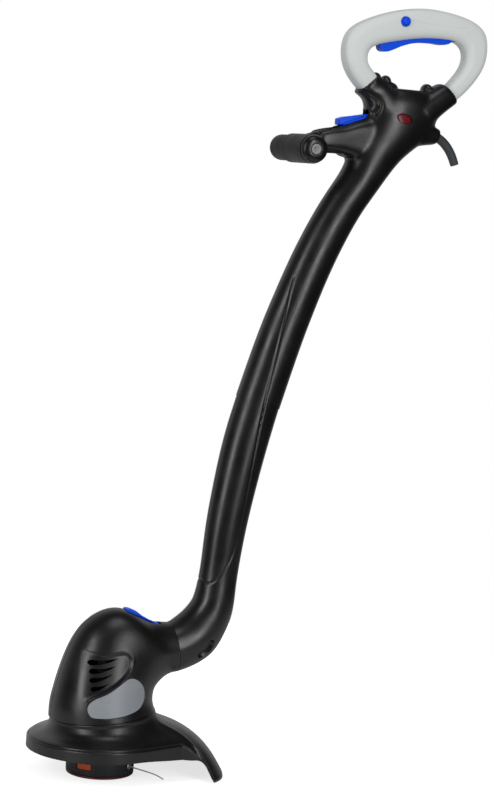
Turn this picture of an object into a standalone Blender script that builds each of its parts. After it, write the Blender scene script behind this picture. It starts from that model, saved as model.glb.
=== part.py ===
"""Electric string trimmer, modelled piece by piece.

Metres, +Z up. The origin is the centre of the spool cap's flat underside. +Z runs up the
motor shaft, +X points back towards the user, and the moulded casings split in the plane Y = 0,
where "left" is the -Y side. Outline stations are pairs of points (x, z) in millimetres on the
front and the rear outline of a casing, with the half width across Y.
"""
import math

import bmesh
import bpy
import numpy as np
from mathutils import Matrix, Vector

MM = 0.001

# Fits and walls
TOUCH = 0.3 * MM            # gap between pieces that touch
SPLIT = 0.15 * MM           # each casing half stops this far from the split plane
WALL = 2.6 * MM             # moulded casing wall
RUN = 0.6 * MM              # gap of a piece that moves

# Motor head
SEAM_HEIGHT = 75.5          # housing and guard part here on the axis, mm
SEAM_SLOPE = 0.09           # the parting plane rises towards the rear
HOUSING_STATIONS = (
    ((-66.0, 69.6), (63.0, 81.2), 63.0),
    ((-65.5, 86.0), (60.5, 90.0), 61.0),
    ((-62.5, 103.0), (60.5, 99.0), 58.5),
    ((-55.5, 131.0), (63.0, 107.0), 55.0),
    ((-44.0, 162.0), (69.0, 113.5), 50.5),
    ((-27.0, 186.5), (75.5, 118.0), 45.5),
    ((-2.0, 201.0), (80.5, 120.3), 41.0),
    ((24.0, 200.5), (84.0, 121.5), 37.0),
    ((51.0, 188.0), (87.2, 122.2), 33.5),
    ((80.0, 184.0), (90.0, 122.5), 31.2),
)
NECK_RADIUS = 31.2          # swivel seam radius, mm
NECK_LEAN = 9.2             # the neck axis rises this much towards the rear, degrees
NECK_CENTRE = (85.0, 153.2)

# Guard
GUARD_WALL = 2.8 * MM
RIM_RADIUS = 91.0
RIM_TOP = 45.0
RIM_BOTTOM = 32.0
SHIELD_RADIUS = 151.0
GUARD_SIDE = (              # rim x, y, rim height, lip height, seam azimuth, share of the shield
    (28.0, 84.5, 45.0, 32.0, 70.0, 0.0),
    (57.0, 74.6, 45.0, 29.8, 54.0, 0.05),
    (82.3, 66.0, 45.0, 28.0, 42.0, 0.25),
    (94.3, 68.3, 37.7, 27.2, 36.0, 0.5),
    (105.0, 70.5, 29.0, 25.6, 31.5, 0.75),
    (113.5, 75.5, 18.5, 14.5, 27.5, 0.9),
    (120.5, 79.0, 5.5, 1.5, 25.0, 1.0),
    (139.5, 55.0, 5.5, 1.5, 15.0, 1.0),
)
GUARD_CORNER = 6            # this column, counted from the front, is a crisp corner
SHIELD_BOTTOM = 1.5

# Spool
SPOOL_RADIUS = 41.5 * MM
SPOOL_WALL = 2.4 * MM
SPOOL_TOP = 29.0 * MM
CAP_THICKNESS = 3.4 * MM
REEL_RADIUS = 33.0 * MM
REEL_CORE = 13.5 * MM
REEL_HEIGHT = 16.0 * MM
SHAFT_RADIUS = 4.0 * MM
EYELET_ANGLE = -50.0        # degrees round the spool, from +X
EYELET_HEIGHT = 14.0 * MM
LATCH_ANGLE = 222.5
LATCH_HEIGHT = 14.4 * MM
LATCH_TRAVEL = 2.0 * MM
LINE_RADIUS = 0.75 * MM
LINE_LENGTH = 46.0 * MM
REEL_BORE = 8.4 * MM

# Motor
MOTOR_RADIUS = 31.0 * MM
PLATE_GAP = 8.0             # from the housing's foot outline in to the motor plate, mm
PLATE_RIBS = ((36.0, -3.0), (144.0, -0.4))    # degrees from +X, rib's end from the foot outline
MOTOR_BOTTOM = 84.0 * MM
MOTOR_LENGTH = 62.0 * MM
ROTOR_RADIUS = 20.0 * MM
FAN_RADIUS = 34.0 * MM
BEARING_RADIUS = 11.0 * MM

# Shafts and handle body
LOWER_STATIONS = (
    ((80.45, 184.05), (90.45, 122.6), 31.2),
    ((85.2, 186.3), (108.0, 130.2), 31.0),
    ((91.0, 190.5), (132.0, 145.8), 30.0),
    ((99.5, 197.5), (148.0, 169.0), 28.2),
    ((107.5, 206.5), (158.3, 194.0), 26.2),
    ((113.2, 219.0), (163.8, 221.2), 24.6),
)
LOWER_AXIS = (              # centre x, z, half depth, lean from the vertical in degrees
    (142.5, 250.0, 24.0, 5.5),
    (147.4, 295.0, 25.2, 8.0),
    (155.5, 346.0, 26.6, 10.5),
    (167.5, 405.0, 27.9, 13.5),
    (181.0, 456.5, 27.8, 16.3),
)
UPPER_AXIS = (
    (181.09, 456.83, 28.6, 16.3),
    (202.5, 526.0, 28.3, 18.3),
    (223.2, 584.0, 27.5, 21.0),
    (246.5, 640.5, 26.8, 24.5),
    (275.6, 697.0, 26.0, 30.0),
)
BODY_STATIONS = (
    ((277.0, 748.0), (322.0, 720.5), 26.0),
    ((286.5, 776.0), (350.0, 758.0), 27.0),
    ((293.5, 797.0), (375.0, 780.0), 28.5),
    ((300.0, 815.0), (391.5, 798.0), 29.0),
    ((304.0, 829.0), (400.0, 815.0), 28.0),
    ((309.0, 841.0), (401.0, 831.0), 25.0),
    ((322.0, 852.0), (396.0, 849.5), 19.0),
)
SHAFT_FLATNESS = 0.93       # width across Y over depth
SPIGOT_LENGTH = 34.0

# Closed loop handle: outer point, inner point, half thickness across Y
LOOP_HALF_THICKNESS = 14.0
LOOP_STATIONS = (
    ((306.0, 831.5), (324.0, 851.5)),
    ((290.5, 846.7), (309.6, 866.7)),
    ((275.2, 865.8), (300.6, 877.0)),
    ((267.6, 888.5), (298.6, 888.0)),
    ((273.0, 915.0), (304.0, 897.5)),
    ((298.0, 932.5), (318.5, 903.2)),
    ((334.0, 944.6), (343.0, 908.3)),
    ((371.0, 950.0), (370.5, 912.5)),
    ((404.8, 947.7), (397.5, 913.5)),
    ((436.0, 940.4), (418.0, 911.3)),
    ((456.4, 926.5), (428.8, 904.0)),
    ((461.6, 906.5), (432.0, 893.5)),
    ((458.8, 886.0), (429.2, 881.5)),
    ((445.5, 863.0), (419.5, 867.5)),
    ((424.0, 841.0), (405.0, 852.0)),
    ((409.0, 828.5), (392.0, 842.0)),
)

# Trigger and lock button
TRIGGER_WIDTH = 15.0 * MM
TRIGGER_PIVOT = (409.0, 917.5)
TRIGGER_PIN_RADIUS = 2.0 * MM
TRIGGER_PIN_REACH = 9.8 * MM
TRIGGER_PULL = 4.5          # degrees
LOCK_CENTRE = (343.6, 932.0)
LOCK_RADIUS = 6.2 * MM
LOCK_PROUD = 3.2 * MM

# Front handle
ARM_PIVOT = (283.0, 781.0)
ARM_BARREL = 19.0
ARM_WIDTH = 26.0 * MM
CHEEK_WIDTH = 42.0
GRIP_CENTRE = (215.0, 770.0)
GRIP_RADIUS = 17.8 * MM
GRIP_FAR_RADIUS = 16.0 * MM
GRIP_NEAR_END = 50.0 * MM
GRIP_STEP = 16.0 * MM
GRIP_FAR_END = 62.0 * MM
BOLT_RADIUS = 3.0 * MM

ARM_BUTTON_WELL = ((255.0, 798.6), (275.0, 798.9), (284.0, 801.0), (297.0, 804.0), (303.8, 810.0),
                   (305.2, 822.0), (255.0, 822.0))
ARM_BUTTON_OUTLINE = ((265.2, 800.5), (265.2, 809.0), (273.0, 811.6), (284.0, 813.2), (304.0, 817.0),
                      (303.0, 812.5), (296.0, 806.5), (284.0, 803.6), (275.0, 801.2))
ARM_BUTTON_HALF = 8.0 * MM

# Cord inlet and lamp
BOOT_PATH = ((398.0, 795.5), (404.5, 792.0), (411.5, 787.3), (418.0, 780.8), (423.3, 773.3),
             (427.2, 765.6), (429.6, 759.8))
BOOT_RADIUS = 5.8 * MM
BOOT_TIP_RADIUS = 5.2 * MM
CORD_RADIUS = 3.6 * MM
LENS_CENTRE = (343.6, 813.0)
LENS_HALF_LENGTH = 10.4
LENS_HALF_HEIGHT = 6.2
LENS_SLOPE = -15.0


def clear_scene():
    """Remove the objects that the file starts with."""
    for obj in list(bpy.data.objects):
        bpy.data.objects.remove(obj, do_unlink=True)


def new_collection(name):
    """A collection in the scene."""
    group = bpy.data.collections.new(name)
    bpy.context.scene.collection.children.link(group)
    return group


clear_scene()
PARTS = new_collection("string_trimmer")
CUTTERS = new_collection("cutters")


def material(name, colour, roughness, metallic=0.0):
    """A plain surface of one colour."""
    made = bpy.data.materials.new(name)
    made.use_nodes = True
    shader = made.node_tree.nodes["Principled BSDF"]
    shader.inputs["Base Color"].default_value = (*colour, 1.0)
    shader.inputs["Roughness"].default_value = roughness
    shader.inputs["Metallic"].default_value = metallic
    return made


BLACK = ("black", (0.011, 0.011, 0.012), 0.38, 0.0)
SPOOL_BLACK = ("spool_black", (0.013, 0.016, 0.018), 0.42, 0.0)
GRIP_BLACK = ("grip_black", (0.024, 0.024, 0.024), 0.6, 0.0)
GLOSS_BLACK = ("gloss_black", (0.008, 0.008, 0.008), 0.15, 0.0)
LIGHT_GREY = ("light_grey", (0.60, 0.62, 0.63), 0.45, 0.0)
BLUE = ("blue", (0.006, 0.06, 0.72), 0.35, 0.0)
LABEL_GREY = ("label_grey", (0.24, 0.26, 0.28), 0.5, 0.0)
DARK_RED = ("dark_red", (0.045, 0.006, 0.008), 0.4, 0.0)
ORANGE = ("orange", (0.42, 0.05, 0.006), 0.4, 0.0)
LENS_RED = ("lens_red", (0.15, 0.02, 0.022), 0.15, 0.0)
BOOT_GREY = ("boot_grey", (0.045, 0.050, 0.056), 0.7, 0.0)
PLUG_GREY = ("plug_grey", (0.2, 0.2, 0.2), 0.5, 0.0)
STEEL = ("steel", (0.55, 0.55, 0.56), 0.3, 1.0)
BRASS = ("brass", (0.6, 0.42, 0.16), 0.3, 1.0)
COPPER = ("copper", (0.6, 0.26, 0.14), 0.35, 1.0)
WHITE_PLASTIC = ("white_plastic", (0.6, 0.6, 0.56), 0.5, 0.0)
NYLON = ("nylon", (0.38, 0.38, 0.34), 0.4, 0.0)


def add_object(name, mesh, collection=CUTTERS):
    """Put a mesh into the scene; a cutter is drawn as wire and left out of renders."""
    obj = bpy.data.objects.new(name, mesh)
    collection.objects.link(obj)
    if collection is CUTTERS:
        obj.hide_render = True
        obj.display_type = "WIRE"
    return obj


def from_bmesh(name, bm, collection=CUTTERS):
    """Turn a bmesh into an object."""
    mesh = bpy.data.meshes.new(name)
    bm.to_mesh(mesh)
    bm.free()
    return add_object(name, mesh, collection)


def finish(obj, finish_values, name=None):
    """Make an object a part: its name, its own material, smooth round faces."""
    if name:
        obj.name = name
    for holder in list(obj.users_collection):
        holder.objects.unlink(obj)
    PARTS.objects.link(obj)
    obj.hide_render = False
    obj.display_type = "TEXTURED"
    obj.data.materials.clear()
    title, colour, roughness, metallic = finish_values
    obj.data.materials.append(material(obj.name + "_" + title, colour, roughness, metallic))
    obj.data.shade_smooth()
    obj.data.set_sharp_from_angle(angle=math.radians(38))
    return obj


def realise(obj):
    """Apply an object's modifiers, so that it can be cut, joined or copied."""
    depsgraph = bpy.context.evaluated_depsgraph_get()
    mesh = bpy.data.meshes.new_from_object(obj.evaluated_get(depsgraph))
    place = obj.matrix_world.copy()
    made = add_object(obj.name + "_form", mesh)
    made.matrix_world = place
    name = obj.name
    bpy.data.objects.remove(obj, do_unlink=True)
    made.name = name
    bpy.context.view_layer.update()
    return made


def copy_of(obj, name):
    """A second object with its own copy of the mesh."""
    twin = add_object(name, obj.data.copy())
    twin.matrix_world = obj.matrix_world.copy()
    return twin


def boolean(obj, other, operation="DIFFERENCE"):
    """Cut, join or keep what two closed meshes share."""
    step = obj.modifiers.new(other.name[:40], "BOOLEAN")
    step.operation = operation
    step.solver = "EXACT"
    step.object = other
    return obj


def box(name, low, high):
    """A box between two corners in metres."""
    bm = bmesh.new()
    bmesh.ops.create_cube(bm, size=1.0)
    low, high = Vector(low), Vector(high)
    size = high - low
    bmesh.ops.scale(bm, vec=size, verts=bm.verts)
    bmesh.ops.translate(bm, vec=(low + high) / 2, verts=bm.verts)
    return from_bmesh(name, bm)


def rod(name, start, end, radius, end_radius=None, sides=20):
    """A cylinder or cone between two points."""
    start, end = Vector(start), Vector(end)
    axis = end - start
    bm = bmesh.new()
    bmesh.ops.create_cone(bm, cap_ends=True, cap_tris=False, segments=sides, radius1=radius,
                          radius2=radius if end_radius is None else end_radius, depth=axis.length)
    turn = axis.to_track_quat("Z", "Y").to_matrix().to_4x4()
    bmesh.ops.transform(bm, matrix=Matrix.Translation((start + end) / 2) @ turn, verts=bm.verts)
    return from_bmesh(name, bm)


def ball(name, centre, radii, segments=16, rings=8):
    """An ellipsoid."""
    bm = bmesh.new()
    bmesh.ops.create_uvsphere(bm, u_segments=segments, v_segments=rings, radius=1.0)
    bmesh.ops.scale(bm, vec=radii, verts=bm.verts)
    bmesh.ops.translate(bm, vec=centre, verts=bm.verts)
    return from_bmesh(name, bm)


def turned(name, profile, steps=20, matrix=None, closed=True):
    """A turned piece: profile points (radius, height), down the outer side, round +Z."""
    mesh = bpy.data.meshes.new(name)
    count = len(profile)
    edges = [(i, i + 1) for i in range(count - 1)]
    if closed:
        edges.append((count - 1, 0))
    mesh.from_pydata([(radius, 0.0, height) for radius, height in profile], edges, [])
    obj = add_object(name, mesh)
    screw = obj.modifiers.new("Turn", "SCREW")
    screw.axis = "Z"
    screw.angle = math.tau
    screw.steps = steps
    screw.render_steps = steps
    screw.use_merge_vertices = True
    screw.merge_threshold = 0.00001
    weld = obj.modifiers.new("Weld", "WELD")
    weld.merge_threshold = 0.00001
    if matrix is not None:
        obj.matrix_world = matrix
        bpy.context.view_layer.update()
    return obj


def placed(centre, axis):
    """Matrix that puts a turned piece's +Z along an axis through a point."""
    return Matrix.Translation(centre) @ Vector(axis).to_track_quat("Z", "Y").to_matrix().to_4x4()


def outline_prism(name, points, y_low, y_high, smooth=False, resolution=3):
    """A flat outline in the XZ plane (points in mm), extruded across Y."""
    curve = bpy.data.curves.new(name, "CURVE")
    curve.dimensions = "2D"
    curve.fill_mode = "BOTH"
    curve.extrude = (y_high - y_low) / 2
    spline = curve.splines.new("BEZIER" if smooth else "POLY")
    if smooth:
        curve.resolution_u = resolution
        spline.bezier_points.add(len(points) - 1)
        for knot, (x, z) in zip(spline.bezier_points, points):
            knot.co = (x * MM, z * MM, 0.0)
            knot.handle_left_type = "AUTO"
            knot.handle_right_type = "AUTO"
    else:
        spline.points.add(len(points) - 1)
        for knot, (x, z) in zip(spline.points, points):
            knot.co = (x * MM, z * MM, 0.0, 1.0)
    spline.use_cyclic_u = True
    obj = add_object(name, curve)
    obj.matrix_world = (Matrix.Translation((0.0, (y_low + y_high) / 2, 0.0))
                        @ Matrix.Rotation(math.pi / 2, 4, "X"))
    bpy.context.view_layer.update()
    made = realise(obj)
    mend(made)
    return made


def mend(obj, distance=0.000002):
    """Weld loose caps, close flat ends and point the faces outwards."""
    bm = bmesh.new()
    bm.from_mesh(obj.data)
    bmesh.ops.remove_doubles(bm, verts=bm.verts, dist=distance)
    open_edges = [edge for edge in bm.edges if edge.is_boundary]
    if open_edges:
        bmesh.ops.holes_fill(bm, edges=open_edges)
    bmesh.ops.recalc_face_normals(bm, faces=bm.faces)
    bm.to_mesh(obj.data)
    bm.free()
    return obj


def across(x, z, half, lean):
    """Front and rear outline points of a tube, from its centre, half depth and lean."""
    angle = math.radians(lean)
    dx, dz = math.cos(angle) * half, math.sin(angle) * half
    return (x - dx, z + dz), (x + dx, z - dz)


def ring(front, rear, width, sides=12, inset=0.0, square=1.0):
    """Points of a cage ring through a front and a rear outline point, in metres."""
    fullness = 6.0 / (4.0 + 2.0 * math.cos(math.tau / sides))
    centre = np.array([(front[0] + rear[0]) / 2, 0.0, (front[1] + rear[1]) / 2])
    half = np.array([front[0] - rear[0], 0.0, front[1] - rear[1]]) / 2
    length = np.linalg.norm(half)
    half *= (length - inset / MM) / length
    side = np.array([0.0, width - inset / MM, 0.0])
    angles = np.arange(sides) * math.tau / sides
    c = np.sign(np.cos(angles)) * np.abs(np.cos(angles)) ** square
    s = np.sign(np.sin(angles)) * np.abs(np.sin(angles)) ** square
    return (centre + fullness * (np.outer(c, half) + np.outer(s, side))) * MM


def lofted(name, rings, level=1):
    """Closed smooth form through rings of points, with flat ends."""
    stack = np.array(rings)
    count, sides = stack.shape[:2]
    weights = np.eye(count)
    for i in range(1, count - 1):
        weights[i, i - 1:i + 2] = (1 / 6, 4 / 6, 1 / 6)
    cage = np.linalg.solve(weights, stack.reshape(count, -1)).reshape(stack.shape)
    bm = bmesh.new()
    loops = [[bm.verts.new(point) for point in row] for row in cage]
    for low, high in zip(loops, loops[1:]):
        for i in range(sides):
            j = (i + 1) % sides
            bm.faces.new((low[i], low[j], high[j], high[i]))
    obj = from_bmesh(name, bm)
    smooth = obj.modifiers.new("Smooth", "SUBSURF")
    smooth.levels = level
    smooth.render_levels = level
    return mend(realise(obj))


def extended(rings, start=0.0, end=0.0):
    """Carry a stack of rings on past its first and last ring, by lengths in metres.

    The end ring itself moves a little way too, so that it lies in no cap's plane.
    """
    stack = [np.array(row) for row in rings]
    if start:
        step = stack[0].mean(axis=0) - stack[1].mean(axis=0)
        step *= start / np.linalg.norm(step)
        stack[0] = stack[0] + 0.2 * step
        stack.insert(0, stack[0] + 0.8 * step)
    if end:
        step = stack[-1].mean(axis=0) - stack[-2].mean(axis=0)
        step *= end / np.linalg.norm(step)
        stack[-1] = stack[-1] + 0.2 * step
        stack.append(stack[-1] + 0.8 * step)
    return stack


def grown(obj, amount, name):
    """A copy with its skin moved out along the normals, or in for a negative amount."""
    twin = copy_of(obj, name)
    skin = twin.modifiers.new("Skin", "DISPLACE")
    skin.strength = amount
    skin.mid_level = 0.0
    return realise(twin)


LEFT_SPACE = box("left_space", (-1.0, -1.0, -1.0), (1.5, -SPLIT, 2.0))
RIGHT_SPACE = box("right_space", (-1.0, SPLIT, -1.0), (1.5, 1.0, 2.0))


def halves(form, left_name, right_name, finish_values):
    """The two moulded halves of a hollow form."""
    left = boolean(copy_of(form, left_name), LEFT_SPACE, "INTERSECT")
    right = boolean(copy_of(form, right_name), RIGHT_SPACE, "INTERSECT")
    left = mend(realise(left), 0.00002)
    right = mend(realise(right), 0.00002)
    finish(left, finish_values)
    finish(right, finish_values)
    return left, right


def point(xz, y=0.0):
    """World point from a pair (x, z) in millimetres and y in metres."""
    return Vector((xz[0] * MM, y, xz[1] * MM))


def seam_height(x):
    """Height of the parting plane of housing and guard, in mm."""
    return SEAM_HEIGHT + SEAM_SLOPE * x


def neck_axis():
    """Unit vector along the swivel axis, from the head towards the shaft."""
    lean = math.radians(NECK_LEAN)
    return Vector((math.cos(lean), 0.0, math.sin(lean)))


def make_housing():
    """Motor housing halves: dome and neck in one shell, slots, label recess, button well."""
    outer_rings = [ring(*station, sides=12) for station in HOUSING_STATIONS]
    inner_rings = [ring(*station, sides=8, inset=WALL) for station in HOUSING_STATIONS]
    form = lofted("housing_form", outer_rings)
    cavity = lofted("housing_cavity", extended(inner_rings, 8 * MM, 6 * MM))
    skin = copy_of(form, "housing_skin")
    boolean(form, cavity)
    form = realise(form)

    recess_floor = grown(skin, -1.0 * MM, "label_recess_floor")
    plate_back = grown(skin, -0.7 * MM, "label_plate_back")
    plate_front = grown(skin, -0.1 * MM, "label_plate_front")
    outline = ((-27.0, 80.5), (-3.0, 81.6), (20.4, 86.3), (32.9, 92.2), (37.6, 105.0),
               (32.2, 119.0), (18.0, 127.0), (3.1, 120.3), (-13.5, 109.4), (-29.0, 102.0),
               (-36.6, 92.0), (-34.5, 83.5))
    centre = np.mean(outline, axis=0)
    recess_outline = [tuple(centre + (np.array(p) - centre) * 1.012) for p in outline]
    recess = outline_prism("label_recess", recess_outline, -0.09, -0.02, smooth=True)
    boolean(recess, recess_floor)
    recess = realise(recess)
    plate = outline_prism("label_blank", outline, -0.09, -0.02, smooth=True)
    boolean(plate, plate_front, "INTERSECT")
    boolean(plate, plate_back)
    plate = realise(plate)
    finish(plate, LABEL_GREY, "label_plate")

    left, right = halves(form, "motor_housing_left", "motor_housing_right", BLACK)
    boolean(left, recess)
    foot_radius = HOUSING_STATIONS[0][2]
    rib_start = (foot_radius - PLATE_GAP) * MM + TOUCH
    for number, (azimuth, reach) in enumerate(PLATE_RIBS):
        for obj, side in ((left, -1.0), (right, 1.0)):
            rib = box("plate_rib_%d_%d" % (number, side > 0), (rib_start, -2.5 * MM, 79.5 * MM),
                      ((foot_radius + reach) * MM, 2.5 * MM, 85.5 * MM))
            rib.matrix_world = Matrix.Rotation(math.radians(side * azimuth), 4, "Z")
            boolean(obj, rib, "UNION")
    slots = ((-34.0, 144.5, 1.5, 150.0, 5.4), (-32.8, 134.4, -2.4, 141.0, 5.2),
             (-33.0, 124.0, -7.0, 131.6, 5.0), (-31.7, 113.8, -11.6, 121.0, 4.8))
    for number, (x0, z0, x1, z1, height) in enumerate(slots):
        sag = 2.2
        mid_x, mid_z = (x0 + x1) / 2, (z0 + z1) / 2 - sag
        teardrop = ((x0, z0), (x0 + height / 2, z0 - height / 2), (mid_x, mid_z - height * 0.42),
                    (x1, z1), (mid_x, mid_z + height * 0.36), (x0 + height / 2, z0 + height / 2))
        for side, obj, low, high in (("l", left, -0.09, -0.02), ("r", right, 0.02, 0.09)):
            slot = outline_prism("slot_%d_%s" % (number, side), teardrop, low, high,
                                 smooth=True, resolution=2)
            boolean(obj, slot)
    return left, right, skin


BUTTON_OUTLINE = ((22.0, 202.6), (27.0, 203.0), (35.0, 200.4), (44.8, 192.6), (54.0, 186.6),
                  (63.0, 181.2), (60.0, 176.0), (48.0, 178.0), (34.0, 184.0), (22.0, 192.0))
BUTTON_WELL = ((20.0, 209.0), (20.0, 188.6), (33.0, 180.6), (46.8, 174.8), (59.2, 172.6),
               (64.4, 181.6), (64.4, 209.0))
BUTTON_HALF_WIDTH = 9.0 * MM


def bevelled(obj, width, segments=2):
    """Round an object's edges."""
    edge = obj.modifiers.new("Bevel", "BEVEL")
    edge.width = width
    edge.segments = segments
    edge.limit_method = "ANGLE"
    edge.angle_limit = math.radians(35)
    return obj


def make_head_button(left, right):
    """Blue release button for turning the head, in a well with a ledge under it."""
    button = outline_prism("head_button", BUTTON_OUTLINE, -BUTTON_HALF_WIDTH, BUTTON_HALF_WIDTH)
    well = outline_prism("button_well", BUTTON_WELL, -BUTTON_HALF_WIDTH - RUN,
                         BUTTON_HALF_WIDTH + RUN)
    for obj in (left, right):
        boolean(obj, well)
    bevelled(button, 1.2 * MM)
    finish(button, BLUE)
    return button


def guard_columns():
    """Columns of the guard's cage on one side, from front to rear.

    Each entry is the rim point (x, y), the rim height, the lip height, the seam azimuth in
    degrees and how far the profile is the rear shield's and not the round skirt's.
    """
    columns = []
    for azimuth in (180.0, 152.0, 124.0, 97.0):
        a = math.radians(azimuth)
        columns.append((RIM_RADIUS * math.cos(a), RIM_RADIUS * math.sin(a), RIM_TOP, RIM_BOTTOM,
                        azimuth, 0.0))
    for x, y, rim_z, lip_z, seam_azimuth, blend in GUARD_SIDE:
        columns.append((x, y, rim_z, lip_z, seam_azimuth, blend))
    columns.append((SHIELD_RADIUS, 0.0, 4.5, SHIELD_BOTTOM, 0.0, 1.0))
    return columns


def make_guard():
    """Skirt, rim band and rear shield as one moulding of even wall."""
    skirt = ((0.17, 0.36), (0.50, 0.61), (0.80, 0.81), (1.0, 1.0))
    shield = ((0.10, 0.14), (0.42, 0.29), (0.76, 0.59), (1.0, 1.0))
    seam_radius = HOUSING_STATIONS[0][2] + 1.2
    ledge_radius = seam_radius - 9.0
    half_grid = []
    for x, y, rim_z, lip_z, seam_azimuth, blend in guard_columns():
        a = math.radians(seam_azimuth)
        foot = np.array([seam_radius * math.cos(a), seam_radius * math.sin(a)])
        foot_z = seam_height(foot[0]) - 0.5
        ledge = np.array([ledge_radius * math.cos(a), ledge_radius * math.sin(a)])
        rim = np.array([x, y])
        ledge_z = seam_height(ledge[0]) - 0.5
        column = [(*ledge, ledge_z), (*(foot * 0.985), foot_z - 0.2), (*foot, foot_z - 1.4)]
        for (out_a, down_a), (out_b, down_b) in zip(skirt, shield):
            out = out_a + (out_b - out_a) * blend
            down = down_a + (down_b - down_a) * blend
            spot = foot + (rim - foot) * out
            column.append((*spot, foot_z - (foot_z - rim_z) * down))
        column.append((x * 1.003, y * 1.003, lip_z))
        half_grid.append(column)
    mirrored = [[(px, -py, pz) for px, py, pz in column] for column in half_grid[1:-1]]
    grid = np.array(half_grid + mirrored[::-1]) * MM
    columns, rows = grid.shape[:2]
    weights = np.eye(columns) * 4 / 6
    weights += (np.roll(np.eye(columns), 1, axis=0) + np.roll(np.eye(columns), -1, axis=0)) / 6
    grid = np.linalg.solve(weights, grid.reshape(columns, -1)).reshape(grid.shape)
    grid[:, :, 2] = np.maximum(grid[:, :, 2], SHIELD_BOTTOM * MM)
    bm = bmesh.new()
    verts = [[bm.verts.new(p) for p in column] for column in grid]
    for i in range(columns):
        j = (i + 1) % columns
        for k in range(rows - 1):
            bm.faces.new((verts[i][k], verts[j][k], verts[j][k + 1], verts[i][k + 1]))
    sharpness = bm.edges.layers.float.new("crease_edge")
    for row, crease in ((2, 0.6), (rows - 2, 0.9)):
        for i in range(columns):
            bm.edges.get((verts[i][row], verts[(i + 1) % columns][row]))[sharpness] = crease
    for i in (GUARD_CORNER, columns - GUARD_CORNER):
        bm.edges.get((verts[i][rows - 2], verts[i][rows - 1]))[sharpness] = 0.7
    obj = from_bmesh("guard", bm)
    smooth = obj.modifiers.new("Smooth", "SUBSURF")
    smooth.levels = 1
    smooth.render_levels = 1
    crease = obj.modifiers.new("Wall", "SOLIDIFY")
    crease.thickness = GUARD_WALL
    crease.offset = -1.0
    crease.use_even_offset = False
    crease.use_rim = True
    return finish(obj, BLACK)


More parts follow.
